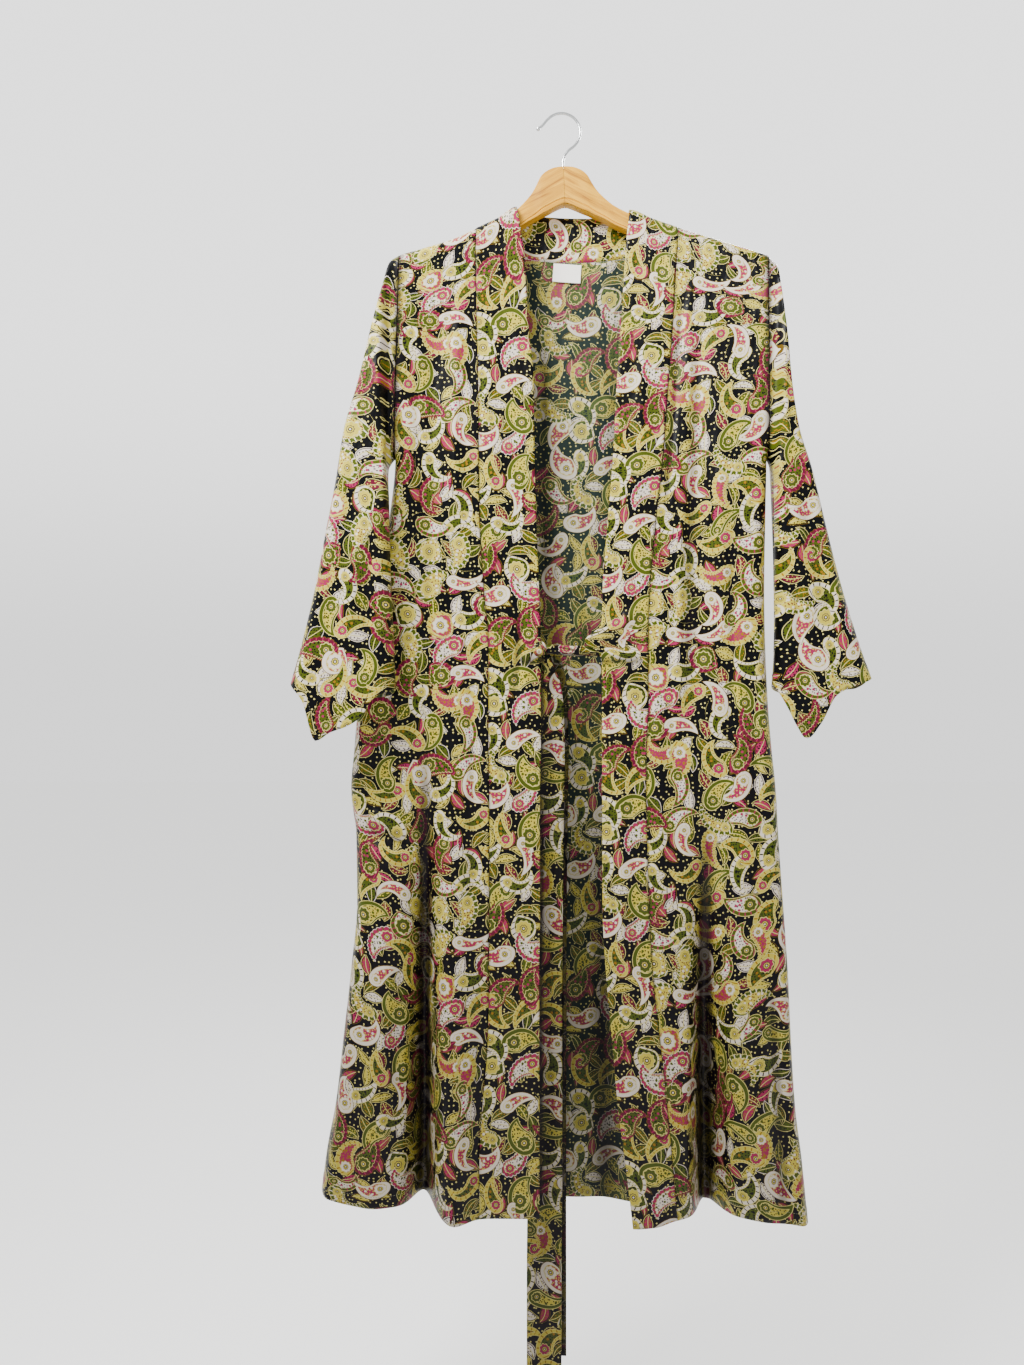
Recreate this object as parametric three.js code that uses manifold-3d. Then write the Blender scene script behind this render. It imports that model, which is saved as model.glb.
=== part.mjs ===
// Dressing gown of printed satin, hanging open on a wooden hanger. Millimetres, +Z up.
// The fronts face -Y and the viewer's right is +X. The origin is the seat under the hook's top arc.
import * as THREE from "three";
import { mergeVertices } from "three/addons/utils/BufferGeometryUtils.js";
import Module from "manifold-3d";

const wasm = await Module();
wasm.setup();

// Cloth thickness and gaps
const CLOTH = 1.5; // one layer of satin with its hems and seams
const BAND_CLOTH = 2.0; // the neckband is folded double
const BELT_CLOTH = 1.8;
const SEAM = 0.3; // pieces keep this gap at a seam

// Rounding of the cloth over the hanger and round the side edges
const CREST_RADIUS = 14;
const SIDE_RADIUS = 13;
const ARMPIT = -410; // level where the armhole ends
const ARMPIT_RADIUS = 46;
const FOLDS_FADE = 34; // folds die away over this distance from a side edge
const MIDDLE_X = 15; // parts the left half's tables from the right half's

// Outline of the body: level, then X of the side, band seam and open edge on each half
const BODY = table("level leftSide leftSeam leftEdge rightEdge rightSeam rightSide", [
  [-110, -186, -99, -55, 77, 134, 231],
  [-170, -188, -102, -46, 71, 130, 231],
  [-240, -190, -101, -42, 67, 126, 231],
  [-320, -192, -99, -35, 61, 120, 232],
  [-410, -194, -98, -34, 56, 113, 232],
  [-480, -202, -97, -32, 50, 105, 231],
  [-560, -220, -92, -29, 44, 98, 230],
  [-620, -232, -87, -27, 43, 96, 231],
  [-690, -239, -87, -27, 43, 96, 234],
  [-740, -243, -87, -27, 43, 94, 238],
  [-790, -247, -86, -28, 43, 93, 243],
  [-845, -241, -86, -28, 43, 94, 246],
  [-920, -240, -86, -28, 43, 96, 251],
  [-1000, -247, -86, -29, 47, 100, 256],
  [-1080, -256, -88, -29, 54, 108, 259],
  [-1150, -264, -94, -29, 60, 115, 263],
  [-1210, -275, -97, -29, 68, 120, 270],
  [-1280, -283, -97, -29, 76, 126, 276],
]);

// Depth of the body: Y of its middle and of each side edge, and how far front and back stand off
const DEPTH = table("level middle front back leftSide rightSide", [
  [-110, 0, 14, 14, -22, -27],
  [-260, 0, 15, 14, -22, -26],
  [-410, -2, 20, 15, -20, -22],
  [-620, -4, 24, 16, -6, -18],
  [-860, -6, 28, 18, -4, -18],
  [-1090, -10, 33, 22, -4, -22],
  [-1280, -14, 36, 26, -6, -28],
]);

// Shoulder line, from the left armhole over the neck to the right one
const SHOULDER = table("x level", [
  [-205, -184], [-189, -175.5], [-162, -165], [-129, -152], [-100, -137], [-75, -124], [-55, -111],
  [77, -115], [104, -126.5], [134, -138.5], [159, -148], [195, -162], [231, -177], [246, -185],
]);

const FRONT_HEM = table("x level", [
  [-288, -1247], [-241, -1257], [-182, -1258], [-153, -1261], [-124, -1272], [-97, -1270], [-29, -1270],
  [76, -1280], [100, -1275], [122, -1268], [161, -1266], [207, -1263], [239, -1268], [284, -1275],
]);

const BACK_HEM = table("x level", [
  [-288, -1247], [-150, -1264], [5, -1275], [78, -1282], [284, -1275],
]);

// Folds: where each starts and ends, its half width, and its height out of the cloth
const FRONT_FOLDS = table("topX topLevel bottomX bottomLevel width height", [
  [-159, -640, -163, -1290, 15, -40],
  [-130, -700, -126, -1290, 22, 12],
  [-205, -760, -218, -1290, 24, 4],
  [-148, -190, -158, -640, 13, -5],
  [158, -740, 163, -1290, 16, -38],
  [118, -900, 108, -1290, 26, 6],
  [205, -800, 217, -1290, 26, 7],
  [152, -190, 142, -760, 14, -6],
  [199, -480, 199, -1000, 14, 5],
]);

const BACK_FOLDS = table("topX topLevel bottomX bottomLevel width height", [
  [-138, -480, -168, -1290, 27, 15],
  [-52, -420, -66, -1290, 30, 10],
  [40, -560, 52, -1290, 28, 12],
  [138, -460, 160, -1290, 27, 15],
]);

// A fold that runs on below this level is open at the hem
const FOLD_REACHES_HEM = -1270;
const FOLD_GROWS = { toHem: 0.85, within: 0.3, dies: 0.7 }; // shares of its length

// The belt pulls the right front's edge to the left here
const PULL_LEVEL = -618;
const PULL_HEIGHT = 11;
const PULL_REACH = 20;

// Rows of the body below the shoulder: first by their distance from its line, then by level
const ROWS_OVER = [0, 22, 45, 67, 90];
const ROWS_DOWN = [34, 60];
const FRONT_LEVELS = [
  -262, -336, -410, -452, -520, -596, -611, -624, -638, -664,
  -730, -805, -880, -955, -1030, -1100, -1162, -1218,
];
const BACK_LEVELS = [-262, -336, -410, -452, -520, -600, -680, -760, -845, -930, -1015, -1100, -1162, -1218];

// Sleeves: outer fold edge, underarm edge and depth, section by section down to the cuff
const LEFT_SLEEVE = table("outerX outerLevel outerY innerX innerLevel innerY depth", [
  [-189, -175.5, -21, -194, -407, -20, 18],
  [-200, -184, -24, -199, -414, -27, 18],
  [-207, -210, -28, -202, -424, -37, 19],
  [-219, -259, -32, -201, -440, -46, 20],
  [-234, -325, -38, -199, -463, -51, 20],
  [-249, -380, -44, -198, -490, -54, 20],
  [-258, -440, -48, -197, -520, -55, 20],
  [-269, -500, -52, -196, -555, -56, 20],
  [-280, -560, -54, -194, -592, -57, 20],
  [-294, -620, -56, -192, -634, -58, 21],
  [-306, -667, -58, -191, -672, -58, 22],
]);

const RIGHT_SLEEVE = table("outerX outerLevel outerY innerX innerLevel innerY depth", [
  [231, -177, -27, 232, -407, -22, 20],
  [242, -190, -28, 236, -414, -24, 20],
  [246, -222, -29, 239, -424, -26, 21],
  [251, -270, -30, 240, -440, -28, 22],
  [256, -322, -31, 240, -463, -30, 22],
  [264, -372, -32, 240, -490, -31, 22],
  [280, -424, -33, 240, -520, -32, 22],
  [295, -485, -34, 240, -555, -33, 22],
  [311, -548, -35, 240, -592, -34, 22],
  [330, -612, -36, 239, -634, -35, 22],
  [346, -661, -38, 237, -668, -36, 22],
]);

// How far the cuff's front layer hangs below the line from its inner to its outer corner
const CUFF = table("across leftDrop rightDrop", [
  [0, 0, 0],
  [0.1, 6, 24],
  [0.2, 14, 48],
  [0.3, 33, 63],
  [0.45, 45, 46],
  [0.6, 52, 17],
  [0.74, 62, 9],
  [0.87, 18, 5],
  [1, 0, 0],
]);
const CUFF_BACK_DROP = 12;
const CUFF_STARTS = 0.62; // shares of the sleeve's length
const SLEEVE_LEAVES_ARMHOLE = 0.3;
const SLEEVE_GAP = { under: 5.5, top: 2 }; // seam gaps between armhole and body
const UNDERARM_RADIUS = 24;
const SLEEVE_FOLD_RADIUS = 12;
const SLEEVE_SECTIONS = 17;
const SLEEVE_HALF_COLUMNS = 9;

// Belt, all from the knot
const KNOT = new THREE.Vector3(-28.5, -36.8, -628);
const KNOT_RADII = new THREE.Vector3(8, 6.8, 9);
const KNOT_WRAP = { depth: 0.1, up: 2.5, across: 1.2 }; // grooves between the belt's turns
const FRONT_END = table("level x y width turn", [
  [-637.4, -25, -35, 10, 0],
  [-650, -17, -31, 11, 0],
  [-664, -15, -20, 20, 1],
  [-700, -17, -17, 34, 4],
  [-760, -19, -16, 40, 3],
  [-900, -21, -17, 40, -2],
  [-1060, -22, -19, 40, 3],
  [-1220, -22, -21, 40, 0],
  [-1350, -23, -22, 40, -2],
  [-1478, -23, -22, 40, 0],
]);
const BACK_END = table("level x y width turn", [
  [-636, -11, -31.6, 11, 0],
  [-648, -9, -22, 16, 0],
  [-664, -9, -12, 24, 2],
  [-700, -12, -9, 34, 3],
  [-760, -14, -8, 40, 2],
  [-900, -16, -9, 40, 3],
  [-1060, -17, -10, 40, -2],
  [-1220, -17, -11, 40, 2],
  [-1350, -17, -12, 40, 0],
  [-1447, -17, -12, 40, 0],
]);
const BELT_ROWS = 22;
const BELT_ROWS_EASE = 1.6; // rows lie closer together near the knot
const BELT_CUP = 1.5; // its edges curl back and forward by this
const BELT_RUN = table("x y level", [
  [-20.9, -36, -628.5],
  [-8, -32, -629],
  [8, -27, -629.5],
  [24, -24.8, -630],
  [46, -25.1, -630],
  [92, -25.4, -629],
]);
const BELT_BUNCH = { width: 12, thickness: 4.8 };

// Label at the back neck seam
const LABEL = { width: 33, height: 22, thickness: 0.8, x: 6, top: -170.5, tilt: 4 };

// Hanger: one arm, station by station out from the joint in the middle
const ARM = table("reach top bottom thickness", [
  [0, -64, -106, 15],
  [10, -65, -110, 15],
  [20, -69, -115, 15],
  [27, -75, -118, 15],
  [32, -84, -121, 14.5],
  [38, -94, -124, 14],
  [46, -103, -128, 14],
  [55, -111.5, -134, 14],
  [77, -124.5, -145, 14],
  [100, -133, -155, 14],
  [130, -147, -168, 14],
  [162, -160, -180, 14],
  [182, -170, -188, 14],
  [190, -175, -189, 12],
  [194, -180, -187, 7],
]);
const ARM_SWEEP = 24; // the arm tips curve forward this far at SWEEP_REACH
const SWEEP_REACH = 208;
const HANGER_ROLL = 2.4; // degrees, the left arm hangs a little lower
const HANGER_PIVOT = -64;
const GROOVE = { fromBottom: 5.5, width: 2.2, depth: 1.1 };
const ARM_SOFTNESS = 3.6; // rounding of the arm's long edges
const BORE = { clearance: 0.3, length: 40 };

// Hook of round wire
const WIRE_RADIUS = 1.6;
const HOOK_CENTRE = new THREE.Vector2(-2, -20.4);
const HOOK_RADIUS = 22;
const HOOK_END = -78;
const HOOK_STEM = [HOOK_END, -64, -53]; // levels of its straight shank
const HOOK_BEND = new THREE.Vector3(4.5, 0, -44);
const HOOK_ARC = [-42, -15, 12, 40, 66, 90, 115, 140]; // degrees round its centre
const HOOK_TIP = { degrees: 172, outwards: 5.5, nextDegrees: 160, nextOutwards: 1.5 };
const HOOK_BALL = 2.5;

const CLOTH_LOOK = { color: 0x2b3a34, roughness: 0.42, metalness: 0 };
const WOOD_LOOK = { color: 0xe3ae66, roughness: 0.4, metalness: 0 };
const STEEL_LOOK = { color: 0xc9c9c6, roughness: 0.22, metalness: 1 };
const LABEL_LOOK = { color: 0xf4f2ee, roughness: 0.7, metalness: 0 };

const clamp = THREE.MathUtils.clamp;
const lerp = THREE.MathUtils.lerp;
const smooth = (value, from, to) => THREE.MathUtils.smoothstep(value, from, to);

// A table's rows as objects with named columns
function table(names, rows) {
  const keys = names.split(" ");
  return rows.map((row) => Object.fromEntries(keys.map((key, i) => [key, row[i]])));
}

// A smooth curve through one column of a table, at a value of another that rises or falls steadily
function along(rows, key, column, value) {
  const sign = Math.sign(rows[rows.length - 1][key] - rows[0][key]);
  const last = rows.length - 1;
  let i = 0;
  while (i < last - 1 && sign * (value - rows[i + 1][key]) > 0) i += 1;
  const span = rows[i + 1][key] - rows[i][key];
  const t = clamp((value - rows[i][key]) / span, 0, 1);
  const slope = (a, b) => (rows[b][column] - rows[a][column]) / (rows[b][key] - rows[a][key]);
  const here = slope(i, i + 1);
  const m0 = (i > 0 ? flatter(slope(i - 1, i), here) : here) * span;
  const m1 = (i < last - 1 ? flatter(here, slope(i + 1, i + 2)) : here) * span;
  const p0 = rows[i][column];
  const p1 = rows[i + 1][column];
  const t2 = t * t;
  const t3 = t2 * t;
  return (2 * t3 - 3 * t2 + 1) * p0 + (t3 - 2 * t2 + t) * m0 + (3 * t2 - 2 * t3) * p1 + (t3 - t2) * m1;
}

// A slope that never overshoots between two stretches
function flatter(a, b) {
  if (a * b <= 0) return 0;
  return (2 * a * b) / (a + b);
}

// A quarter round: 0 at an edge, 1 from one radius inwards
function rounded(distance, radius) {
  const t = clamp(1 - distance / radius, 0, 1);
  return Math.sqrt(1 - t * t);
}

function foldsAt(folds, x, level) {
  let height = 0;
  for (const fold of folds) {
    const t = (fold.topLevel - level) / (fold.topLevel - fold.bottomLevel);
    const reachesHem = fold.bottomLevel < FOLD_REACHES_HEM;
    const ends = reachesHem ? 1 : 1 - smooth(t, FOLD_GROWS.dies, 1);
    const grown = smooth(t, 0, reachesHem ? FOLD_GROWS.toHem : FOLD_GROWS.within) * ends;
    const offset = (x - lerp(fold.topX, fold.bottomX, clamp(t, 0, 1))) / fold.width;
    height += fold.height * grown * Math.exp(-offset * offset);
  }
  return height;
}

const sideAt = (x, level) => along(BODY, "level", x < MIDDLE_X ? "leftSide" : "rightSide", level);

// Y of the middle surface between front and back
function middleAt(x, level) {
  const side = sideAt(x, level);
  const sideY = along(DEPTH, "level", x < MIDDLE_X ? "leftSide" : "rightSide", level);
  const middle = along(DEPTH, "level", "middle", level);
  return lerp(middle, sideY, Math.min((x / side) ** 2, 1));
}

// Y of the front (towards = -1) or back (towards = 1) layer at a point of the body
function layerAt(x, level, towards) {
  const isFront = towards < 0;
  const standOff = along(DEPTH, "level", isFront ? "front" : "back", level);
  const over = rounded(along(SHOULDER, "x", "level", x) - level, CREST_RADIUS);
  const open = level > ARMPIT ? rounded(level - ARMPIT, ARMPIT_RADIUS) : 0;
  const fromSide = Math.abs(sideAt(x, level)) - Math.abs(x);
  const side = lerp(rounded(fromSide, SIDE_RADIUS), 1, open);
  const fold = foldsAt(isFront ? FRONT_FOLDS : BACK_FOLDS, x, level) * over * rounded(fromSide, FOLDS_FADE);
  return middleAt(x, level) + towards * (standOff * over * side + fold + SEAM);
}

// Even steps along a line of points
function resample(points, count) {
  const lengths = [0];
  for (let i = 1; i < points.length; i += 1) {
    lengths.push(lengths[i - 1] + points[i].distanceTo(points[i - 1]));
  }
  const total = lengths[lengths.length - 1];
  const even = [];
  let i = 1;
  for (let k = 0; k < count; k += 1) {
    const want = (total * k) / (count - 1);
    while (i < points.length - 1 && lengths[i] < want) i += 1;
    const t = clamp((want - lengths[i - 1]) / (lengths[i] - lengths[i - 1]), 0, 1);
    even.push(points[i - 1].clone().lerp(points[i], t));
  }
  return even;
}

// Distances from an edge that round it evenly, in radii
const ROUNDING = ROWS_OVER.map((degrees) => 1 - Math.cos((degrees * Math.PI) / 180));

// Levels of one upright line of a panel, from the shoulder or neck line to the hem
function levelsDown(panel, x) {
  const top = panel.topAt(x);
  const over = ROUNDING.map((inwards) => top - CREST_RADIUS * inwards);
  const down = ROWS_DOWN.map((distance) => top - distance);
  return [...over, ...down, ...panel.levels, along(panel.hem, "x", "level", x)];
}

// A point of one row of a panel, at the X that a station has at that row's level
function pointOnRow(panel, row, station) {
  let x = station(-200);
  let level = 0;
  for (let pass = 0; pass < 3; pass += 1) {
    level = levelsDown(panel, x)[row];
    x = station(level);
  }
  return new THREE.Vector3(x, layerAt(x, level, panel.towards), level);
}

const eachRow = (panel, make) => levelsDown(panel, 0).map((_, row) => make(row));

// Rows of points between two edges, in even steps along the cloth
function evenRows(panel, fromX, toX, columns) {
  return eachRow(panel, (row) => {
    const line = [];
    for (let k = 0; k <= 120; k += 1) {
      line.push(pointOnRow(panel, row, (level) => lerp(fromX(level), toX(level), k / 120)));
    }
    return resample(line, columns);
  });
}

// The columns that round a side edge, from the flat of the cloth out to the edge
function sideRows(panel, half) {
  const out = outwards(half);
  return eachRow(panel, (row) => [...ROUNDING].reverse().slice(1).map((inwards) => (
    pointOnRow(panel, row, (level) => sideOf(half, level) - out * inwards * SIDE_RADIUS)
  )));
}

const joinRows = (...parts) => parts[0].map((_, row) => parts.flatMap((part) => part[row]));

// Outward unit normals of a grid of points
function gridNormals(grid) {
  const along1 = new THREE.Vector3();
  const along2 = new THREE.Vector3();
  return grid.map((row, i) => row.map((point, j) => {
    const up = grid[Math.max(i - 1, 0)][j];
    const down = grid[Math.min(i + 1, grid.length - 1)][j];
    const left = row[Math.max(j - 1, 0)];
    const right = row[Math.min(j + 1, row.length - 1)];
    along1.subVectors(down, up);
    along2.subVectors(right, left);
    return new THREE.Vector3().crossVectors(along1, along2).normalize();
  }));
}

// A closed wall of even thickness on a grid of middle points
function wall(grid, thickness) {
  const normals = gridNormals(grid);
  const rows = grid.length;
  const columns = grid[0].length;
  const positions = [];
  for (const sign of [1, -1]) {
    grid.forEach((row, i) => row.forEach((point, j) => {
      const moved = point.clone().addScaledVector(normals[i][j], (sign * thickness) / 2);
      positions.push(moved.x, moved.y, moved.z);
    }));
  }
  const index = [];
  const at = (side, i, j) => side * rows * columns + i * columns + j;
  const quad = (a, b, c, d) => index.push(a, b, c, a, c, d);
  for (let i = 0; i < rows - 1; i += 1) {
    for (let j = 0; j < columns - 1; j += 1) {
      quad(at(0, i, j), at(0, i + 1, j), at(0, i + 1, j + 1), at(0, i, j + 1));
      quad(at(1, i, j), at(1, i, j + 1), at(1, i + 1, j + 1), at(1, i + 1, j));
    }
  }
  for (let i = 0; i < rows - 1; i += 1) {
    quad(at(0, i, 0), at(1, i, 0), at(1, i + 1, 0), at(0, i + 1, 0));
    quad(at(0, i + 1, columns - 1), at(1, i + 1, columns - 1), at(1, i, columns - 1), at(0, i, columns - 1));
  }
  for (let j = 0; j < columns - 1; j += 1) {
    quad(at(0, 0, j + 1), at(1, 0, j + 1), at(1, 0, j), at(0, 0, j));
    quad(at(0, rows - 1, j), at(1, rows - 1, j), at(1, rows - 1, j + 1), at(0, rows - 1, j + 1));
  }
  const geometry = new THREE.BufferGeometry();
  geometry.setAttribute("position", new THREE.Float32BufferAttribute(positions, 3));
  geometry.setIndex(index);
  return facingOut(geometry);
}

// Turns a closed mesh right side out
function facingOut(geometry) {
  const position = geometry.getAttribute("position");
  const index = geometry.getIndex().array;
  const a = new THREE.Vector3();
  const b = new THREE.Vector3();
  const c = new THREE.Vector3();
  let volume = 0;
  for (let i = 0; i < index.length; i += 3) {
    a.fromBufferAttribute(position, index[i]);
    b.fromBufferAttribute(position, index[i + 1]);
    c.fromBufferAttribute(position, index[i + 2]);
    volume += a.dot(b.cross(c));
  }
  if (volume < 0) {
    const flipped = [];
    for (let i = 0; i < index.length; i += 3) flipped.push(index[i], index[i + 2], index[i + 1]);
    geometry.setIndex(flipped);
  }
  return geometry;
}

// X of the open edge, with the stretch that the belt pulls across
function edgeAt(half, level) {
  const edge = along(BODY, "level", `${half}Edge`, level);
  const pull = Math.exp(-(((level - PULL_LEVEL) / PULL_HEIGHT) ** 2));
  return half === "right" ? edge - PULL_REACH * pull : edge;
}

const seamAt = (half, level) => along(BODY, "level", `${half}Seam`, level);
const sideOf = (half, level) => along(BODY, "level", `${half}Side`, level);
const shoulderAt = (x) => along(SHOULDER, "x", "level", x);
const outwards = (half) => (half === "left" ? -1 : 1);

const FRONT = { towards: -1, hem: FRONT_HEM, levels: FRONT_LEVELS, topAt: shoulderAt };

function frontPanel(half) {
  const out = outwards(half);
  const fromX = (level) => seamAt(half, level) + (out * SEAM) / 2;
  const toX = (level) => sideOf(half, level) - out * SIDE_RADIUS;
  return joinRows(evenRows(FRONT, fromX, toX, 17), sideRows(FRONT, half));
}

function frontBand(half) {
  const out = outwards(half);
  const fromX = (level) => seamAt(half, level) - (out * SEAM) / 2;
  return evenRows(FRONT, fromX, (level) => edgeAt(half, level), 5);
}

// The back neck: from the shoulder line at one band seam, down behind the hanger, to the other
const NECK_LEFT = seamAt("left", -133);
const NECK_RIGHT = seamAt("right", -134);
const NECK_SAG = 17;
const NECK_STEPS = 8;

function neckAt(x) {
  const middle = (NECK_LEFT + NECK_RIGHT) / 2;
  const half = (NECK_RIGHT - NECK_LEFT) / 2;
  const inside = half - Math.abs(x - middle);
  if (inside <= 0) return shoulderAt(x);
  const u = (x - middle) / half;
  const ends = lerp(shoulderAt(NECK_LEFT), shoulderAt(NECK_RIGHT), (u + 1) / 2);
  const turned = 1 - Math.sqrt(1 - rounded(inside, CREST_RADIUS) ** 2);
  return ends - CREST_RADIUS * turned - NECK_SAG * (1 - u * u);
}

// Stations from one end to the other, closer together where both ends are rounded
function neckStations(from, to) {
  const turn = ROUNDING.map((inwards) => inwards * CREST_RADIUS);
  const inner = Array.from({ length: NECK_STEPS - 1 }, (_, i) => (
    lerp(from + CREST_RADIUS, to - CREST_RADIUS, (i + 1) / NECK_STEPS)
  ));
  const first = turn.map((inwards) => from + inwards);
  const last = [...turn].reverse().map((inwards) => to - inwards);
  return [...first, ...inner, ...last];
}

// A point of the neck seam, moved up off it or down
function neckPoint(x, offset) {
  const slope = (neckAt(x + 0.2) - neckAt(x - 0.2)) / 0.4;
  const scale = offset / Math.hypot(1, slope);
  const movedX = x - slope * scale;
  const level = neckAt(x) + scale;
  return new THREE.Vector3(movedX, layerAt(movedX, level, 1), level);
}

function backPanel() {
  const back = { towards: 1, hem: BACK_HEM, levels: BACK_LEVELS, topAt: neckAt };
  const left = sideRows(back, "left").map((row) => row.reverse());
  const right = sideRows(back, "right");
  const flatLeft = evenRows(back, (level) => sideOf("left", level) + SIDE_RADIUS, () => NECK_LEFT, 6);
  const flatRight = evenRows(back, () => NECK_RIGHT, (level) => sideOf("right", level) - SIDE_RADIUS, 7);
  const stations = neckStations(NECK_LEFT, NECK_RIGHT).slice(1, -1);
  const neck = eachRow(back, (row) => stations.map((x) => (
    row === 0 ? neckPoint(x, -SEAM) : pointOnRow(back, row, () => x)
  )));
  return joinRows(left, flatLeft, neck, flatRight, right);
}

// The neckband behind the neck, ruled between the neck seam and its own top edge
const BAND_TOP_LEVEL = -112;
const BAND_TOP_SAG = 4;

function backBand() {
  const topLeft = along(BODY, "level", "leftEdge", BAND_TOP_LEVEL);
  const topRight = along(BODY, "level", "rightEdge", BAND_TOP_LEVEL);
  const lowLine = neckStations(NECK_LEFT, NECK_RIGHT).map((x) => neckPoint(x, SEAM));
  const topLine = neckStations(topLeft, topRight).map((x) => {
    const t = (x - topLeft) / (topRight - topLeft);
    const fromEnd = Math.min(x - topLeft, topRight - x);
    const y = middleAt(x, BAND_TOP_LEVEL) + SEAM + CREST_RADIUS * rounded(fromEnd, CREST_RADIUS);
    return new THREE.Vector3(x, y, shoulderAt(x) - BAND_TOP_SAG * 4 * t * (1 - t));
  });
  return [0, 0.25, 0.5, 0.75, 1].map((t) => lowLine.map((low, i) => {
    const top = topLine[i];
    const point = low.clone().lerp(top, t);
    const ends = lerp(middleAt(low.x, BAND_TOP_LEVEL), middleAt(top.x, BAND_TOP_LEVEL), t);
    point.y += middleAt(point.x, BAND_TOP_LEVEL) - ends;
    return point;
  }));
}

// One sleeve: sections fan from the armhole to the cuff round the underarm
function sleeveRows(half) {
  const rows = half === "left" ? LEFT_SLEEVE : RIGHT_SLEEVE;
  const out = outwards(half);
  const numbered = rows.map((row, i) => ({ ...row, at: i / (rows.length - 1) }));
  const grid = [];
  for (let section = 0; section < SLEEVE_SECTIONS; section += 1) {
    const s = section / (SLEEVE_SECTIONS - 1);
    const value = (column) => along(numbered, "at", column, s);
    const outer = new THREE.Vector3(value("outerX"), value("outerY"), value("outerLevel"));
    const inner = new THREE.Vector3(value("innerX"), value("innerY"), value("innerLevel"));
    const reach = outer.distanceTo(inner);
    const fromArmhole = smooth(s, 0, SLEEVE_LEAVES_ARMHOLE);
    const dropped = smooth(s, CUFF_STARTS, 1);
    const halves = [-1, 1].map((towards) => {
      const line = [];
      for (let k = 0; k <= 80; k += 1) {
        const across = 0.5 - 0.5 * Math.cos((Math.PI * k) / 80);
        const point = inner.clone().lerp(outer, across);
        const fromFold = (1 - across) * reach;
        const ends = rounded(across * reach, UNDERARM_RADIUS) * rounded(fromFold, SLEEVE_FOLD_RADIUS);
        const free = point.y + towards * (value("depth") * ends + SEAM);
        const level = lerp(ARMPIT, rows[0].outerLevel, across);
        point.y = lerp(layerAt(sideOf(half, level), level, towards), free, fromArmhole);
        const gap = lerp(SLEEVE_GAP.under, SLEEVE_GAP.top, across) * SEAM;
        if (section === 0) point.x = sideOf(half, level) + out * gap;
        const drop = towards < 0 ? along(CUFF, "across", `${half}Drop`, across) : CUFF_BACK_DROP * ends;
        point.z -= drop * dropped;
        line.push(point);
      }
      return resample(line, SLEEVE_HALF_COLUMNS);
    });
    const frontLine = halves[0];
    const backLine = halves[1].reverse();
    const fold = frontLine[frontLine.length - 1].clone().lerp(backLine[0], 0.5);
    grid.push([...frontLine.slice(0, -1), fold, ...backLine.slice(1)]);
  }
  return grid;
}

// A hanging strip of the belt
function beltEnd(rows) {
  const top = rows[0].level;
  const bottom = rows[rows.length - 1].level;
  const grid = [];
  for (let row = 0; row < BELT_ROWS; row += 1) {
    const t = row / (BELT_ROWS - 1);
    const level = lerp(top, bottom, t ** BELT_ROWS_EASE);
    const value = (column) => along(rows, "level", column, level);
    const line = [-1, -0.5, 0, 0.5, 1].map((across) => {
      const y = value("y") + across * value("turn") + BELT_CUP * Math.cos(across * Math.PI);
      return new THREE.Vector3(value("x") + (across * value("width")) / 2, y, level);
    });
    grid.push(line);
  }
  return wall(grid, BELT_CLOTH);
}

// The bunched stretch from the knot to behind the right front
function beltRun() {
  const points = BELT_RUN.map(({ x, y, level }) => new THREE.Vector3(x, y, level));
  const path = new THREE.CatmullRomCurve3(points);
  const section = new THREE.Shape();
  section.absellipse(0, 0, BELT_BUNCH.width / 2, BELT_BUNCH.thickness / 2, 0, Math.PI * 2);
  return sweep(section, path, 16, 8);
}

function sweep(shape, path, steps, curveSegments) {
  const how = { steps, curveSegments, bevelEnabled: false, extrudePath: path };
  return onlyPositions(new THREE.ExtrudeGeometry(shape, how));
}

function onlyPositions(geometry) {
  geometry.deleteAttribute("normal");
  geometry.deleteAttribute("uv");
  return facingOut(mergeVertices(geometry, 1e-4));
}

function beltKnot() {
  const knot = onlyPositions(new THREE.SphereGeometry(1, 16, 12));
  const position = knot.getAttribute("position");
  const point = new THREE.Vector3();
  for (let i = 0; i < position.count; i += 1) {
    point.fromBufferAttribute(position, i);
    const turns = Math.sin(KNOT_WRAP.up * point.z + KNOT_WRAP.across * point.x);
    const wrap = 1 - KNOT_WRAP.depth * Math.abs(turns);
    point.multiply(KNOT_RADII).multiplyScalar(wrap).add(KNOT);
    position.setXYZ(i, point.x, point.y, point.z);
  }
  return knot;
}

function neckLabel() {
  const geometry = onlyPositions(new THREE.BoxGeometry(LABEL.width, LABEL.thickness, LABEL.height));
  geometry.translate(0, 0, -LABEL.height / 2);
  geometry.rotateY(THREE.MathUtils.degToRad(LABEL.tilt));
  const y = layerAt(LABEL.x, LABEL.top - LABEL.height, 1) - CLOTH / 2 - LABEL.thickness / 2 - 2 * SEAM;
  geometry.translate(LABEL.x, y, LABEL.top);
  return geometry;
}

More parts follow.
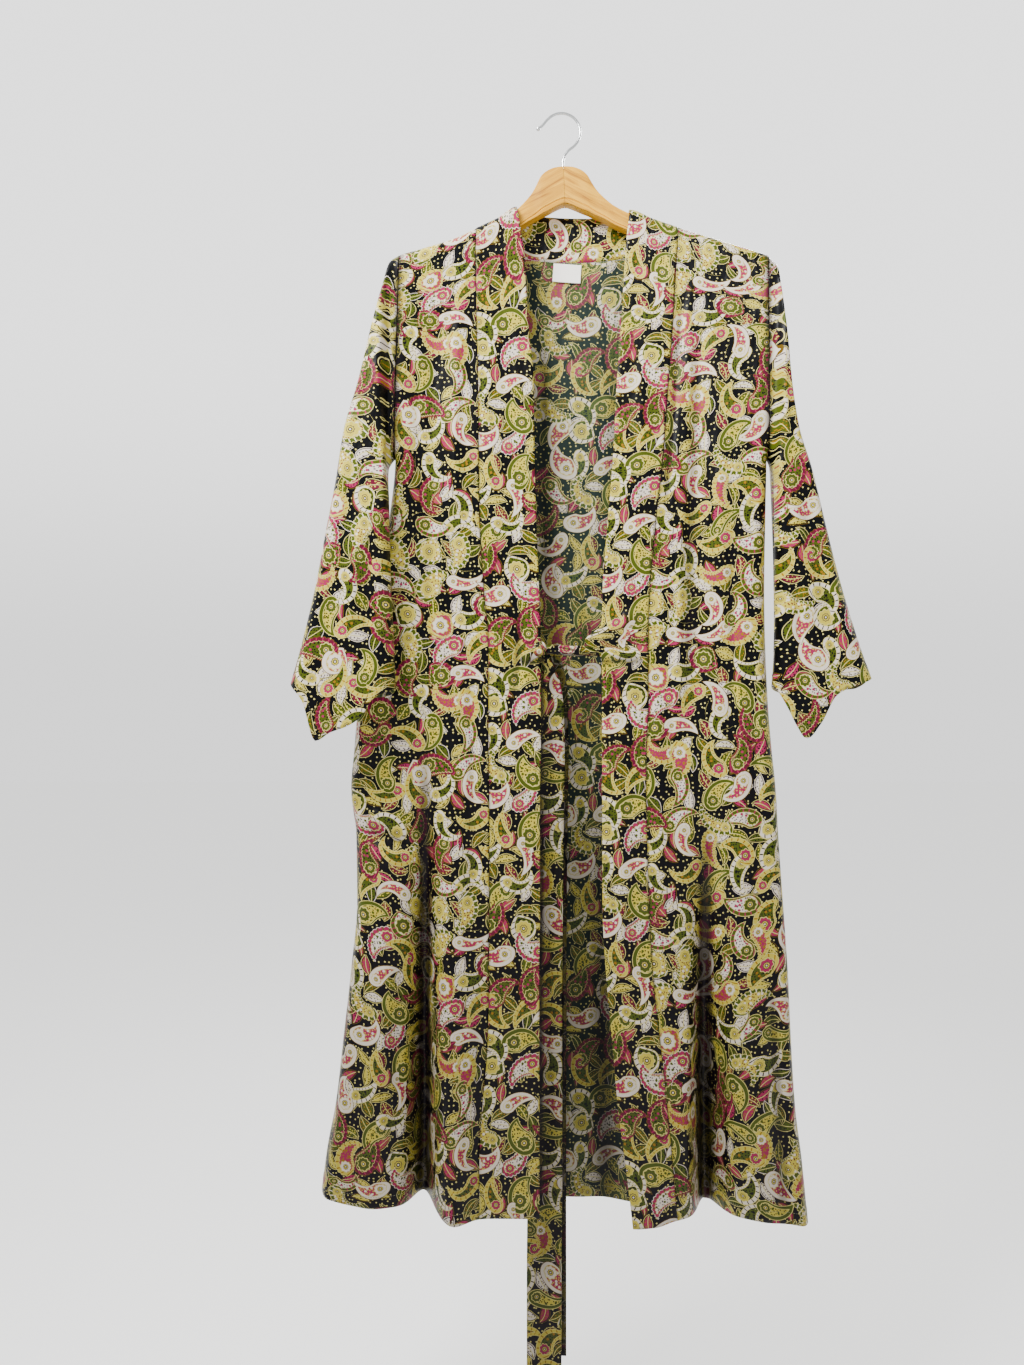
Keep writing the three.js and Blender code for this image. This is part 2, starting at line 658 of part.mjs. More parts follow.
// One hanger arm, lofted through sections with a groove along the front's lower edge
function armSection(station, out) {
  const { reach, top, bottom, thickness } = station;
  const half = thickness / 2;
  const soft = Math.min(ARM_SOFTNESS, half * 0.75, (top - bottom) * 0.3);
  const y = -ARM_SWEEP * (reach / SWEEP_REACH) ** 2;
  const x = out * reach + (reach === 0 ? out * (SEAM / 2) : 0);
  const low = bottom + Math.min(GROOVE.fromBottom, (top - bottom) * 0.4);
  const deep = Math.min(GROOVE.depth, half * 0.3);
  const outline = [
    [0, top], [half - soft, top - 0.3 * soft], [half, top - soft * 1.3],
    [half, bottom + soft], [half - soft, bottom], [-half + soft, bottom],
    [-half, bottom + soft * 0.8], [-half, low - GROOVE.width * 0.5],
    [-half + deep, low], [-half, low + GROOVE.width * 0.5],
    [-half, top - soft * 1.3], [-half + soft, top - 0.3 * soft],
  ];
  return outline.map(([across, level]) => new THREE.Vector3(x, y + across, level));
}

function hangerArm(out) {
  const rings = ARM.map((station) => armSection(station, out));
  const sides = rings[0].length;
  const positions = [];
  rings.flat().forEach((point) => positions.push(point.x, point.y, point.z));
  const index = [];
  for (let i = 0; i < rings.length - 1; i += 1) {
    for (let j = 0; j < sides; j += 1) {
      const next = (j + 1) % sides;
      const a = i * sides;
      const b = (i + 1) * sides;
      index.push(a + j, b + j, b + next, a + j, b + next, a + next);
    }
  }
  for (const [ring, follows] of [[0, true], [rings.length - 1, false]]) {
    const contour = rings[ring].map((point) => new THREE.Vector2(point.y, point.z));
    for (const face of THREE.ShapeUtils.triangulateShape(contour, [])) {
      const turn = THREE.ShapeUtils.area(face.map((k) => contour[k])) * THREE.ShapeUtils.area(contour);
      const ordered = turn > 0 === follows ? face : [...face].reverse();
      index.push(...ordered.map((k) => ring * sides + k));
    }
  }
  const geometry = new THREE.BufferGeometry();
  geometry.setAttribute("position", new THREE.Float32BufferAttribute(positions, 3));
  geometry.setIndex(index);
  geometry.translate(0, 0, -HANGER_PIVOT);
  geometry.rotateY(THREE.MathUtils.degToRad(-HANGER_ROLL));
  geometry.translate(0, 0, HANGER_PIVOT);
  const radius = WIRE_RADIUS + BORE.clearance;
  const bore = onlyPositions(new THREE.CylinderGeometry(radius, radius, BORE.length, 20));
  bore.rotateX(Math.PI / 2);
  bore.translate(0, 0, HOOK_END - BORE.clearance + BORE.length / 2);
  return fromManifold(toManifold(facingOut(geometry)).subtract(toManifold(bore)));
}

function toManifold(geometry) {
  return new wasm.Manifold(new wasm.Mesh({
    numProp: 3,
    vertProperties: new Float32Array(geometry.getAttribute("position").array),
    triVerts: new Uint32Array(geometry.getIndex().array),
  }));
}

function fromManifold(solid) {
  const mesh = solid.getMesh();
  const geometry = new THREE.BufferGeometry();
  geometry.setAttribute("position", new THREE.Float32BufferAttribute(mesh.vertProperties, 3));
  geometry.setIndex(new THREE.Uint32BufferAttribute(mesh.triVerts, 1));
  return geometry;
}

function hook() {
  const onArc = (degrees, radius = HOOK_RADIUS) => {
    const angle = THREE.MathUtils.degToRad(degrees);
    const x = HOOK_CENTRE.x + radius * Math.cos(angle);
    return new THREE.Vector3(x, 0, HOOK_CENTRE.y + radius * Math.sin(angle));
  };
  const tip = onArc(HOOK_TIP.degrees, HOOK_RADIUS + HOOK_TIP.outwards);
  const path = new THREE.CatmullRomCurve3([
    ...HOOK_STEM.map((level) => new THREE.Vector3(0, 0, level)),
    HOOK_BEND,
    ...HOOK_ARC.map((degrees) => onArc(degrees)),
    onArc(HOOK_TIP.nextDegrees, HOOK_RADIUS + HOOK_TIP.nextOutwards),
    tip,
  ], false, "centripetal");
  const wire = new THREE.Shape();
  wire.absarc(0, 0, WIRE_RADIUS, 0, Math.PI * 2);
  const tube = sweep(wire, path, 36, 5);
  const ball = onlyPositions(new THREE.SphereGeometry(HOOK_BALL, 12, 10));
  ball.translate(tip.x, tip.y, tip.z);
  return fromManifold(toManifold(tube).add(toManifold(ball)));
}

const gown = new THREE.Group();

function add(name, geometry, look) {
  const mesh = new THREE.Mesh(geometry, new THREE.MeshStandardMaterial(look));
  mesh.name = name;
  gown.add(mesh);
}

add("back", wall(backPanel(), CLOTH), CLOTH_LOOK);
for (const half of ["left", "right"]) {
  add(`front_${half}`, wall(frontPanel(half), CLOTH), CLOTH_LOOK);
  add(`sleeve_${half}`, wall(sleeveRows(half), CLOTH), CLOTH_LOOK);
  add(`neckband_${half}`, wall(frontBand(half), BAND_CLOTH), CLOTH_LOOK);
  add(`hanger_${half}`, hangerArm(outwards(half)), WOOD_LOOK);
}
add("neckband_back", wall(backBand(), BAND_CLOTH), CLOTH_LOOK);
add("belt_run", beltRun(), CLOTH_LOOK);
add("belt_knot", beltKnot(), CLOTH_LOOK);
add("belt_end_front", beltEnd(FRONT_END), CLOTH_LOOK);
add("belt_end_back", beltEnd(BACK_END), CLOTH_LOOK);
add("label", neckLabel(), LABEL_LOOK);
add("hanger_hook", hook(), STEEL_LOOK);

export default gown;
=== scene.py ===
# Dressing gown of printed satin, hanging open on a wooden hanger.
# Sizes are millimetres in the same frame as the solids: +Z up, the fronts face -Y,
# and the viewer's right is +X.
import math

import bmesh
import bpy
import numpy as np
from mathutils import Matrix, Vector


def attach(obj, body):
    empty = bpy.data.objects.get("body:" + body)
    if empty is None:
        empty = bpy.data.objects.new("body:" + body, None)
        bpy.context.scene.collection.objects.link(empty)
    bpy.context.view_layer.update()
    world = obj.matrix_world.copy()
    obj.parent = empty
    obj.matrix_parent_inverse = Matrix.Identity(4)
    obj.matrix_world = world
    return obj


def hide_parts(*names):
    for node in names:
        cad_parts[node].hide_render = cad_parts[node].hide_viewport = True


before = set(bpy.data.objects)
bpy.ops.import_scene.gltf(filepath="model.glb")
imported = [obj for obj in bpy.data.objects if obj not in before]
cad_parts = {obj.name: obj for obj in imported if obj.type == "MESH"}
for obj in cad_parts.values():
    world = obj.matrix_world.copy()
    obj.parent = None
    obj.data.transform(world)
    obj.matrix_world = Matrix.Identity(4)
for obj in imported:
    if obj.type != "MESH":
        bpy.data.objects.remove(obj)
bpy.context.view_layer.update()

MM = 0.001


# --- Camera: at the photograph's place, level, upright picture of 1024 by 1365

CAMERA_AT = (-60, -1250, -666)
PICTURE_HEIGHT = 1365
FOCAL_PIXELS = 1065.6

camera_data = bpy.data.cameras.new("camera")
camera_data.sensor_fit = "VERTICAL"
camera_data.sensor_width = 36
camera_data.sensor_height = 36
camera_data.lens = 36 * FOCAL_PIXELS / PICTURE_HEIGHT
camera_data.clip_start = 0.05
camera = bpy.data.objects.new("camera", camera_data)
camera.location = [v * MM for v in CAMERA_AT]
camera.rotation_euler = (math.radians(90), 0, 0)
bpy.context.scene.collection.objects.link(camera)
bpy.context.scene.camera = camera


# --- Tables of the gown, the same as its solids' tables

SEAM = 0.3
CREST_RADIUS = 14
SIDE_RADIUS = 13
ARMPIT = -410
ARMPIT_RADIUS = 46
FOLDS_FADE = 34
MIDDLE_X = 15
SHELL = 0.9  # thickness of one layer of satin, as shown
BAND_SHELL = 1.8  # the band is folded double


class Table:
    """Rows of named columns, with a smooth curve that never overshoots through any of them."""

    def __init__(self, names, rows):
        self.columns = dict(zip(names.split(), np.array(rows, float).T))
        self.key = names.split()[0]
        self.curves = {}

    def slopes(self, xs, ys):
        steep = np.diff(ys) / np.diff(xs)
        out = np.empty(len(xs))
        out[0], out[-1] = steep[0], steep[-1]
        a, b = steep[:-1], steep[1:]
        product = a * b
        safe = np.where(product > 0, a + b, 1)
        out[1:-1] = np.where(product > 0, 2 * product / safe, 0)
        return out

    def at(self, column, value):
        if column not in self.curves:
            xs, ys = self.columns[self.key], self.columns[column]
            order = np.argsort(xs)
            xs, ys = xs[order], ys[order]
            self.curves[column] = (xs, ys, self.slopes(xs, ys))
        xs, ys, ms = self.curves[column]
        value = np.clip(np.asarray(value, float), xs[0], xs[-1])
        i = np.clip(np.searchsorted(xs, value) - 1, 0, len(xs) - 2)
        span = xs[i + 1] - xs[i]
        t = (value - xs[i]) / span
        t2, t3 = t * t, t * t * t
        return (
            (2 * t3 - 3 * t2 + 1) * ys[i]
            + (t3 - 2 * t2 + t) * ms[i] * span
            + (3 * t2 - 2 * t3) * ys[i + 1]
            + (t3 - t2) * ms[i + 1] * span
        )


BODY = Table("level leftSide leftSeam leftEdge rightEdge rightSeam rightSide", [
    (-110, -186, -99, -55, 77, 134, 231),
    (-170, -188, -102, -46, 71, 130, 231),
    (-240, -190, -101, -42, 67, 126, 231),
    (-320, -192, -99, -35, 61, 120, 232),
    (-410, -194, -98, -34, 56, 113, 232),
    (-480, -202, -97, -32, 50, 105, 231),
    (-560, -220, -92, -29, 44, 98, 230),
    (-620, -232, -87, -27, 43, 96, 231),
    (-690, -239, -87, -27, 43, 96, 234),
    (-740, -243, -87, -27, 43, 94, 238),
    (-790, -247, -86, -28, 43, 93, 243),
    (-845, -241, -86, -28, 43, 94, 246),
    (-920, -240, -86, -28, 43, 96, 251),
    (-1000, -247, -86, -29, 47, 100, 256),
    (-1080, -256, -88, -29, 54, 108, 259),
    (-1150, -264, -94, -29, 60, 115, 263),
    (-1210, -275, -97, -29, 68, 120, 270),
    (-1280, -283, -97, -29, 76, 126, 276),
])

DEPTH = Table("level middle front back leftSide rightSide", [
    (-110, 0, 14, 14, -22, -27),
    (-260, 0, 15, 14, -22, -26),
    (-410, -2, 20, 15, -20, -22),
    (-620, -4, 24, 16, -6, -18),
    (-860, -6, 28, 18, -4, -18),
    (-1090, -10, 33, 22, -4, -22),
    (-1280, -14, 36, 26, -6, -28),
])

SHOULDER = Table("x level", [
    (-205, -184), (-189, -175.5), (-162, -165), (-129, -152), (-100, -137), (-75, -124), (-55, -111),
    (77, -115), (104, -126.5), (134, -138.5), (159, -148), (195, -162), (231, -177), (246, -185),
])

FRONT_HEM = Table("x level", [
    (-288, -1247), (-241, -1257), (-182, -1258), (-153, -1261), (-124, -1272), (-97, -1270),
    (-29, -1270), (76, -1280), (100, -1275), (122, -1268), (161, -1266), (207, -1263), (239, -1268),
    (284, -1275),
])

BACK_HEM = Table("x level", [
    (-288, -1247), (-150, -1264), (5, -1275), (78, -1282), (284, -1275),
])

# Large folds: top X and level, bottom X and level, half width, height out of the cloth
FRONT_FOLDS = [
    (-159, -640, -163, -1290, 15, -46),
    (-130, -700, -126, -1290, 20, 16),
    (-205, -760, -218, -1290, 22, 8),
    (-148, -190, -158, -640, 13, -5),
    (160, -740, 165, -1290, 16, -48),
    (118, -900, 108, -1290, 24, 9),
    (205, -800, 217, -1290, 22, 11),
    (152, -190, 142, -760, 14, -6),
    (199, -480, 199, -1000, 14, 5),
]
BACK_FOLDS = [
    (-138, -480, -168, -1290, 27, 15),
    (-52, -420, -66, -1290, 30, 10),
    (40, -560, 52, -1290, 28, 12),
    (138, -460, 160, -1290, 27, 15),
]
FOLD_REACHES_HEM = -1270

PULL_LEVEL, PULL_HEIGHT, PULL_REACH = -618, 11, 20

CREASES_STAND = 1.7  # times the heights below
# Creases: points (x, level) along one, then half width, height out of the cloth
# and the share that fades at each end
FRONT_CREASES = [
    ([(138, -190), (128, -330), (114, -500)], 5, -2.2, 0.25),
    ([(146, -200), (142, -360), (133, -520), (128, -760)], 6, 2.0, 0.2),
    ([(188, -470), (190, -640), (186, -800)], 8, -2.0, 0.3),
    ([(176, -360), (181, -520), (179, -640)], 7, 1.8, 0.35),
    ([(104, -640), (110, -800), (105, -960)], 9, 1.6, 0.3),
    ([(214, -560), (222, -700), (226, -860)], 8, 2.2, 0.3),
    ([(-120, -190), (-126, -340), (-122, -520)], 7, 1.8, 0.3),
    ([(-172, -260), (-166, -420), (-170, -560)], 7, -1.8, 0.3),
    ([(-140, -420), (-146, -560), (-140, -700)], 9, 2.0, 0.35),
    ([(-112, -560), (-108, -760), (-110, -980)], 9, -1.8, 0.3),
    ([(-238, -834), (-205, -842), (-168, -856)], 6, -5.0, 0.3),
    ([(-236, -812), (-206, -822), (-176, -846)], 6, 3.0, 0.35),
    ([(-232, -858), (-204, -866), (-176, -874)], 7, 2.6, 0.35),
    ([(-186, -704), (-168, -705), (-152, -703)], 3, -2.0, 0.3),
    ([(-200, -900), (-206, -1040), (-214, -1180)], 10, 2.0, 0.3),
    ([(-184, -960), (-190, -1100), (-196, -1250)], 8, -2.4, 0.2),
    ([(-150, -1000), (-146, -1120), (-142, -1262)], 8, 2.4, 0.15),
    ([(196, -960), (192, -1100), (190, -1262)], 8, 2.6, 0.15),
    ([(232, -1000), (238, -1130), (244, -1266)], 9, -2.4, 0.15),
    ([(140, -1020), (136, -1140), (134, -1266)], 7, 2.0, 0.15),
]
BAND_CREASES = [
    ([(-90, -240), (-84, -420), (-78, -600)], 9, 1.2, 0.3),
    ([(-66, -560), (-70, -620), (-84, -700)], 7, 1.6, 0.35),
    ([(-50, -560), (-52, -618), (-60, -700)], 6, -1.4, 0.35),
    ([(-36, -592), (-44, -640), (-48, -760)], 6, 1.6, 0.3),
    ([(40, -606), (62, -600), (88, -580)], 6, 2.6, 0.3),
    ([(34, -620), (64, -622), (92, -616)], 5, -2.4, 0.3),
    ([(42, -636), (66, -650), (86, -690)], 6, 2.2, 0.3),
    ([(60, -720), (66, -860), (64, -1000)], 8, 1.4, 0.3),
    ([(92, -240), (88, -380), (80, -560)], 8, 1.2, 0.3),
    ([(-60, -800), (-64, -960), (-60, -1120)], 9, 1.4, 0.3),
    ([(88, -1040), (92, -1150), (98, -1268)], 8, 1.8, 0.2),
]
BACK_CREASES = [
    ([(-20, -200), (-24, -420), (-20, -620)], 12, 2.2, 0.3),
    ([(60, -220), (66, -420), (62, -600)], 11, 2.0, 0.3),
    ([(-90, -210), (-100, -380), (-96, -560)], 11, 2.4, 0.3),
    ([(130, -220), (138, -400), (130, -560)], 10, 2.2, 0.3),
    ([(10, -480), (6, -760), (-2, -1040)], 12, -2.6, 0.3),
    ([(-104, -700), (-112, -960), (-118, -1262)], 12, -3.2, 0.2),
    ([(96, -680), (104, -960), (108, -1268)], 12, -3.0, 0.2),
    ([(-200, -640), (-214, -900), (-226, -1252)], 12, 2.4, 0.2),
    ([(196, -620), (206, -900), (218, -1268)], 12, 2.4, 0.2),
    ([(-176, -380), (-184, -520), (-176, -660)], 9, -2.4, 0.3),
    ([(186, -380), (192, -520), (186, -680)], 9, -2.4, 0.3),
]

LEFT_SLEEVE = Table("at outerX outerLevel outerY innerX innerLevel innerY depth", [
    (0.0, -189, -175.5, -21, -194, -407, -20, 18),
    (0.1, -200, -184, -24, -199, -414, -27, 18),
    (0.2, -207, -210, -28, -202, -424, -37, 19),
    (0.3, -219, -259, -32, -201, -440, -46, 20),
    (0.4, -234, -325, -38, -199, -463, -51, 20),
    (0.5, -249, -380, -44, -198, -490, -54, 20),
    (0.6, -258, -440, -48, -197, -520, -55, 20),
    (0.7, -269, -500, -52, -196, -555, -56, 20),
    (0.8, -280, -560, -54, -194, -592, -57, 20),
    (0.9, -294, -620, -56, -192, -634, -58, 21),
    (1.0, -306, -667, -58, -191, -672, -58, 22),
])

RIGHT_SLEEVE = Table("at outerX outerLevel outerY innerX innerLevel innerY depth", [
    (0.0, 231, -177, -27, 232, -407, -22, 20),
    (0.1, 242, -190, -28, 236, -414, -24, 20),
    (0.2, 246, -222, -29, 239, -424, -26, 21),
    (0.3, 251, -270, -30, 240, -440, -28, 22),
    (0.4, 256, -322, -31, 240, -463, -30, 22),
    (0.5, 264, -372, -32, 240, -490, -31, 22),
    (0.6, 280, -424, -33, 240, -520, -32, 22),
    (0.7, 295, -485, -34, 240, -555, -33, 22),
    (0.8, 311, -548, -35, 240, -592, -34, 22),
    (0.9, 330, -612, -36, 239, -634, -35, 22),
    (1.0, 346, -661, -38, 237, -668, -36, 22),
])

CUFF = Table("across leftDrop rightDrop", [
    (0, 0, 0), (0.1, 6, 24), (0.2, 14, 48), (0.3, 33, 63), (0.45, 45, 46),
    (0.6, 52, 17), (0.74, 62, 9), (0.87, 18, 5), (1, 0, 0),
])
CUFF_BACK_DROP = 12
CUFF_STARTS = 0.62
SLEEVE_LEAVES_ARMHOLE = 0.3
UNDERARM_RADIUS = 24
SLEEVE_FOLD_RADIUS = 12

SLEEVE_CREASES = {
    "left": [
        ([(-206, -232), (-210, -300), (-212, -370)], 5, 3.0, 0.3),
        ([(-198, -240), (-200, -330), (-204, -410)], 4, -2.6, 0.3),
        ([(-222, -470), (-236, -550), (-244, -650)], 7, 3.4, 0.25),
        ([(-214, -500), (-222, -580), (-222, -660)], 7, -3.0, 0.3),
        ([(-236, -380), (-252, -470), (-268, -560)], 8, 2.0, 0.35),
        ([(-262, -560), (-274, -640), (-284, -700)], 8, -2.2, 0.3),
    ],
    "right": [
        ([(244, -250), (247, -330), (250, -420)], 4, 2.6, 0.3),
        ([(250, -420), (262, -520), (272, -620)], 7, 3.2, 0.25),
        ([(262, -420), (282, -520), (300, -620)], 8, -2.6, 0.3),
        ([(256, -520), (260, -600), (262, -680)], 6, -3.0, 0.3),
        ([(286, -500), (306, -590), (324, -670)], 8, 2.4, 0.3),
    ],
}

FRONT_END = Table("level x y width turn", [
    (-637.4, -25, -35, 10, 0), (-650, -17, -31, 11, 0), (-664, -15, -20, 20, 1),
    (-700, -17, -17, 34, 4), (-760, -19, -16, 40, 3), (-900, -21, -17, 40, -2), (-1060, -22, -19, 40, 3),
    (-1220, -22, -21, 40, 0), (-1350, -23, -22, 40, -2), (-1478, -23, -22, 40, 0),
])
BACK_END = Table("level x y width turn", [
    (-636, -11, -31.6, 11, 0), (-648, -9, -22, 16, 0), (-664, -9, -12, 24, 2), (-700, -12, -9, 34, 3),
    (-760, -14, -8, 40, 2), (-900, -16, -9, 40, 3), (-1060, -17, -10, 40, -2), (-1220, -17, -11, 40, 2),
    (-1350, -17, -12, 40, 0), (-1447, -17, -12, 40, 0),
])
BELT_THICKNESS = 1.6
BELT_CUP = 1.5


# --- Form of the cloth

def lerp(a, b, t):
    return a + (b - a) * t


def smooth(value, start, end):
    t = np.clip((np.asarray(value, float) - start) / (end - start), 0, 1)
    return t * t * (3 - 2 * t)


def rounded(distance, radius):
    t = np.clip(1 - np.asarray(distance, float) / radius, 0, 1)
    return np.sqrt(1 - t * t)


def folds_at(folds, x, level):
    height = np.zeros_like(x)
    for top_x, top, bottom_x, bottom, width, rise in folds:
        t = (top - level) / (top - bottom)
        to_hem = bottom < FOLD_REACHES_HEM
        ends = 1 if to_hem else 1 - smooth(t, 0.7, 1)
        grown = smooth(t, 0, 0.85 if to_hem else 0.3) * ends
        offset = (x - lerp(top_x, bottom_x, np.clip(t, 0, 1))) / width
        height += rise * grown * np.exp(-offset * offset)
    return height


def creases_at(creases, x, level):
    """Soft ridges and troughs along drawn lines, fading at their ends."""
    height = np.zeros_like(x)
    for points, width, rise, fade in creases:
        line = np.array(points, float)
        steps = np.hypot(*np.diff(line, axis=0).T)
        starts = np.concatenate([[0], np.cumsum(steps)])
        nearest = np.full_like(x, 1e9)
        place = np.zeros_like(x)
        for k, step in enumerate(steps):
            ax, az = line[k]
            dx, dz = (line[k + 1] - line[k]) / step
            t = np.clip((x - ax) * dx + (level - az) * dz, 0, step)
            gap = np.hypot(x - ax - t * dx, level - az - t * dz)
            closer = gap < nearest
            nearest = np.where(closer, gap, nearest)
            place = np.where(closer, starts[k] + t, place)
        share = place / starts[-1]
        ends = smooth(share, 0, fade) * (1 - smooth(share, 1 - fade, 1))
        height += rise * ends * np.exp(-((nearest / width) ** 2))
    return height


def of_half(table, x, level, left, right):
    return np.where(x < MIDDLE_X, table.at(left, level), table.at(right, level))


def middle_at(x, level):
    side = of_half(BODY, x, level, "leftSide", "rightSide")
    side_y = of_half(DEPTH, x, level, "leftSide", "rightSide")
    return lerp(DEPTH.at("middle", level), side_y, np.minimum((x / side) ** 2, 1))


def layer_at(x, level, towards, creases=(), seam=SEAM):
    """Y of the front (towards -1) or back (towards 1) layer."""
    x, level = np.asarray(x, float), np.asarray(level, float)
    off = DEPTH.at("front" if towards < 0 else "back", level)
    over = rounded(SHOULDER.at("level", x) - level, CREST_RADIUS)
    open_here = np.where(level > ARMPIT, rounded(level - ARMPIT, ARMPIT_RADIUS), 0)
    from_side = np.abs(of_half(BODY, x, level, "leftSide", "rightSide")) - np.abs(x)
    side = lerp(rounded(from_side, SIDE_RADIUS), 1, open_here)
    near_side = rounded(from_side, FOLDS_FADE)
    fold = folds_at(FRONT_FOLDS if towards < 0 else BACK_FOLDS, x, level) * over * near_side
    fold = fold + creases_at(creases, x, level) * CREASES_STAND * over * rounded(from_side, SIDE_RADIUS)
    return middle_at(x, level) + towards * (off * over * side + fold + seam)


def edge_at(half, level):
    edge = BODY.at(half + "Edge", level)
    if half == "left":
        return edge
    return edge - PULL_REACH * np.exp(-(((level - PULL_LEVEL) / PULL_HEIGHT) ** 2))


def seam_at(half, level):
    return BODY.at(half + "Seam", level)


def side_at(half, level):
    return BODY.at(half + "Side", level)


def out_of(half):
    return -1 if half == "left" else 1


# --- Grids of points, rows from top to bottom

ROW_STEP = 5.0
TURN = np.linspace(0, math.pi / 2, 8)
TURN_IN = 1 - np.cos(TURN)  # distance from a rounded edge, in radii
LEVEL_TOP, LEVEL_LOW = -262, -1218


def row_levels(top, hem, x):
    """Levels of all rows at some X: over the shoulder line, down, and to the hem."""
    tops, hems = top(x), hem.at("level", x)
    rows = [tops - CREST_RADIUS * inwards for inwards in TURN_IN]
    first = tops - CREST_RADIUS
    count = 20
    rows += [lerp(first, LEVEL_TOP, (k + 1) / count) for k in range(count)]
    count = int((LEVEL_TOP - LEVEL_LOW) / ROW_STEP)
    rows += [np.full_like(tops, lerp(LEVEL_TOP, LEVEL_LOW, (k + 1) / count)) for k in range(count)]
    count = 11
    rows += [lerp(LEVEL_LOW, hems, (k + 1) / count) for k in range(count)]
    return rows


def settle(top, hem, row, station):
    """X and level of one row, where each X station depends on the level."""
    x = station(np.full(1, -200.0))
    for _ in range(3):
        level = row_levels(top, hem, x)[row]
        x = station(level)
    return x, level


def lengths_along(line):
    """How far along a line of points each of them lies."""
    return np.concatenate([[0], np.cumsum(np.linalg.norm(np.diff(line, axis=0), axis=1))])


def even(x, level, y, count):
    """The same line of points in even steps."""
    steps = np.sqrt(np.diff(x) ** 2 + np.diff(y) ** 2 + np.diff(level) ** 2)
    lengths = np.concatenate([[0], np.cumsum(steps)])
    want = np.linspace(0, lengths[-1], count)
    return np.interp(want, lengths, x), np.interp(want, lengths, level)


def panel_rows(top, hem, towards, from_x, to_x, count, creases):
    """Rows of (x, y, level) between two edges, in even steps along the cloth."""
    rows = []
    t = np.linspace(0, 1, 241)
    for row in range(len(row_levels(top, hem, np.zeros(1)))):
        x, level = settle(top, hem, row, lambda lv: lerp(from_x(lv), to_x(lv), t))
        y = layer_at(x, level, towards, creases)
        x, level = even(x, level, y, count)
        rows.append(np.stack([x, layer_at(x, level, towards, creases), level], -1))
    return np.array(rows)


def side_columns(top, hem, towards, half, creases):
    """Columns that round a side edge, from the flat of the cloth out to the edge."""
    inwards = out_of(half) * TURN_IN[::-1][1:] * SIDE_RADIUS
    rows = []
    for row in range(len(row_levels(top, hem, np.zeros(1)))):
        x, level = settle(top, hem, row, lambda lv: side_at(half, lv) - inwards)
        rows.append(np.stack([x, layer_at(x, level, towards, creases), level], -1))
    return np.array(rows)


def flat_uv(grid, middle=0):
    """Distances along the cloth, as if it lay flat, in millimetres."""
    across = np.linalg.norm(np.diff(grid, axis=1), axis=2)
    u = np.concatenate([np.zeros((grid.shape[0], 1)), np.cumsum(across, axis=1)], axis=1)
    u = u - u[:, middle:middle + 1] + grid[len(grid) // 4, middle, 0]
    v = grid[0, middle, 2] - lengths_along(grid[:, middle])
    return np.stack([u, np.repeat(v[:, None], grid.shape[1], axis=1)], -1)


def unit(v):
    return v / np.maximum(np.linalg.norm(v, axis=-1, keepdims=True), 1e-9)


def grid_normals(grid):
    return unit(np.cross(np.gradient(grid, axis=0), np.gradient(grid, axis=1)))


# Where each piece was cut from the cloth, so that the print breaks at the seams
CUT_AT = {
    "front_panel_left": (0, 0), "front_panel_right": (137, 61), "back_panel": (97, 223),
    "band_left": (211, 143), "band_right": (59, 307), "band_back": (331, 17),
    "sleeve_shell_left": (283, 91), "sleeve_shell_right": (173, 259),
    "belt_strip_front": (29, 181), "belt_strip_back": (241, 37),
    "belt_gathered": (113, 127), "belt_tie": (7, 71),
}


# Painted shade in folds: how wide the cloth is averaged, then the depth below it where the painted shade
# starts and where it is darkest, and how dark it gets: for the deep folds, and for the fine creases
FOLD_SHADE_SPANS = [(26, 1, 10, 1.0), (6, 0.1, 1.3, 0.55)]
# Painted shade, darker towards the hem: levels where that starts and ends, and how much
HEM_SHADE = (-560, -1240, 0.5)


def painted_fold_shade(grid, normals):
    """Painted shade at each point, from 0 to 1: darker the deeper it lies in a fold, against the cloth
    on both sides of it, and darker towards the hem.
    """
    step = np.linalg.norm(np.diff(grid, axis=1), axis=2).mean()
    start, end, dark = HEM_SHADE
    shade_here = dark * smooth(start - grid[..., 2], 0, start - end)
    for width, start, end, dark in FOLD_SHADE_SPANS:
        reach = int(2.5 * width / step)
        weights = np.exp(-0.5 * (np.arange(-reach, reach + 1) * step / width) ** 2)
        wide = np.pad(grid, ((0, 0), (reach, reach), (0, 0)), mode="edge")
        around = sum(w * wide[:, k:k + grid.shape[1]] for k, w in enumerate(weights / weights.sum()))
        below = ((around - grid) * normals).sum(-1)
        shade_here = 1 - (1 - shade_here) * (1 - dark * smooth(below, start, end))
    return shade_here


def painted_edge_shade(grid, column, dark, width):
    """How dark the painted shade beside a sewn edge, the first or last column of a grid, makes the
    cloth.
    """
    away = np.linalg.norm(grid - grid[:, column:column + 1 or None], axis=2)
    return dark * np.exp(-((away / width) ** 2))


def make_mesh(name, points, faces, uvs, materials, slots, hollow=None):
    """A mesh from points in millimetres, with one UV a corner and a material slot a face."""
    uvs = np.asarray(uvs) + CUT_AT.get(name, (0, 0))
    mesh = bpy.data.meshes.new(name)
    mesh.from_pydata((np.asarray(points) * MM).tolist(), [], [list(map(int, f)) for f in faces])
    layer = mesh.uv_layers.new(name="cloth")
    flat = np.concatenate([uvs[list(f)] for f in faces]) * MM
    layer.data.foreach_set("uv", flat.astype(np.float32).ravel())
    for material in materials:
        mesh.materials.append(material)
    mesh.polygons.foreach_set("material_index", slots)
    mesh.polygons.foreach_set("use_smooth", [True] * len(mesh.polygons))
    if hollow is not None:
        depths = mesh.attributes.new("hollow", "FLOAT", "POINT")
        depths.data.foreach_set("value", hollow.astype(np.float32))
    mesh.update()
    obj = bpy.data.objects.new(name, mesh)
    bpy.context.scene.collection.objects.link(obj)
    fix = bmesh.new()
    fix.from_mesh(mesh)
    bmesh.ops.recalc_face_normals(fix, faces=fix.faces)
    fix.to_mesh(mesh)
    fix.free()
    return obj


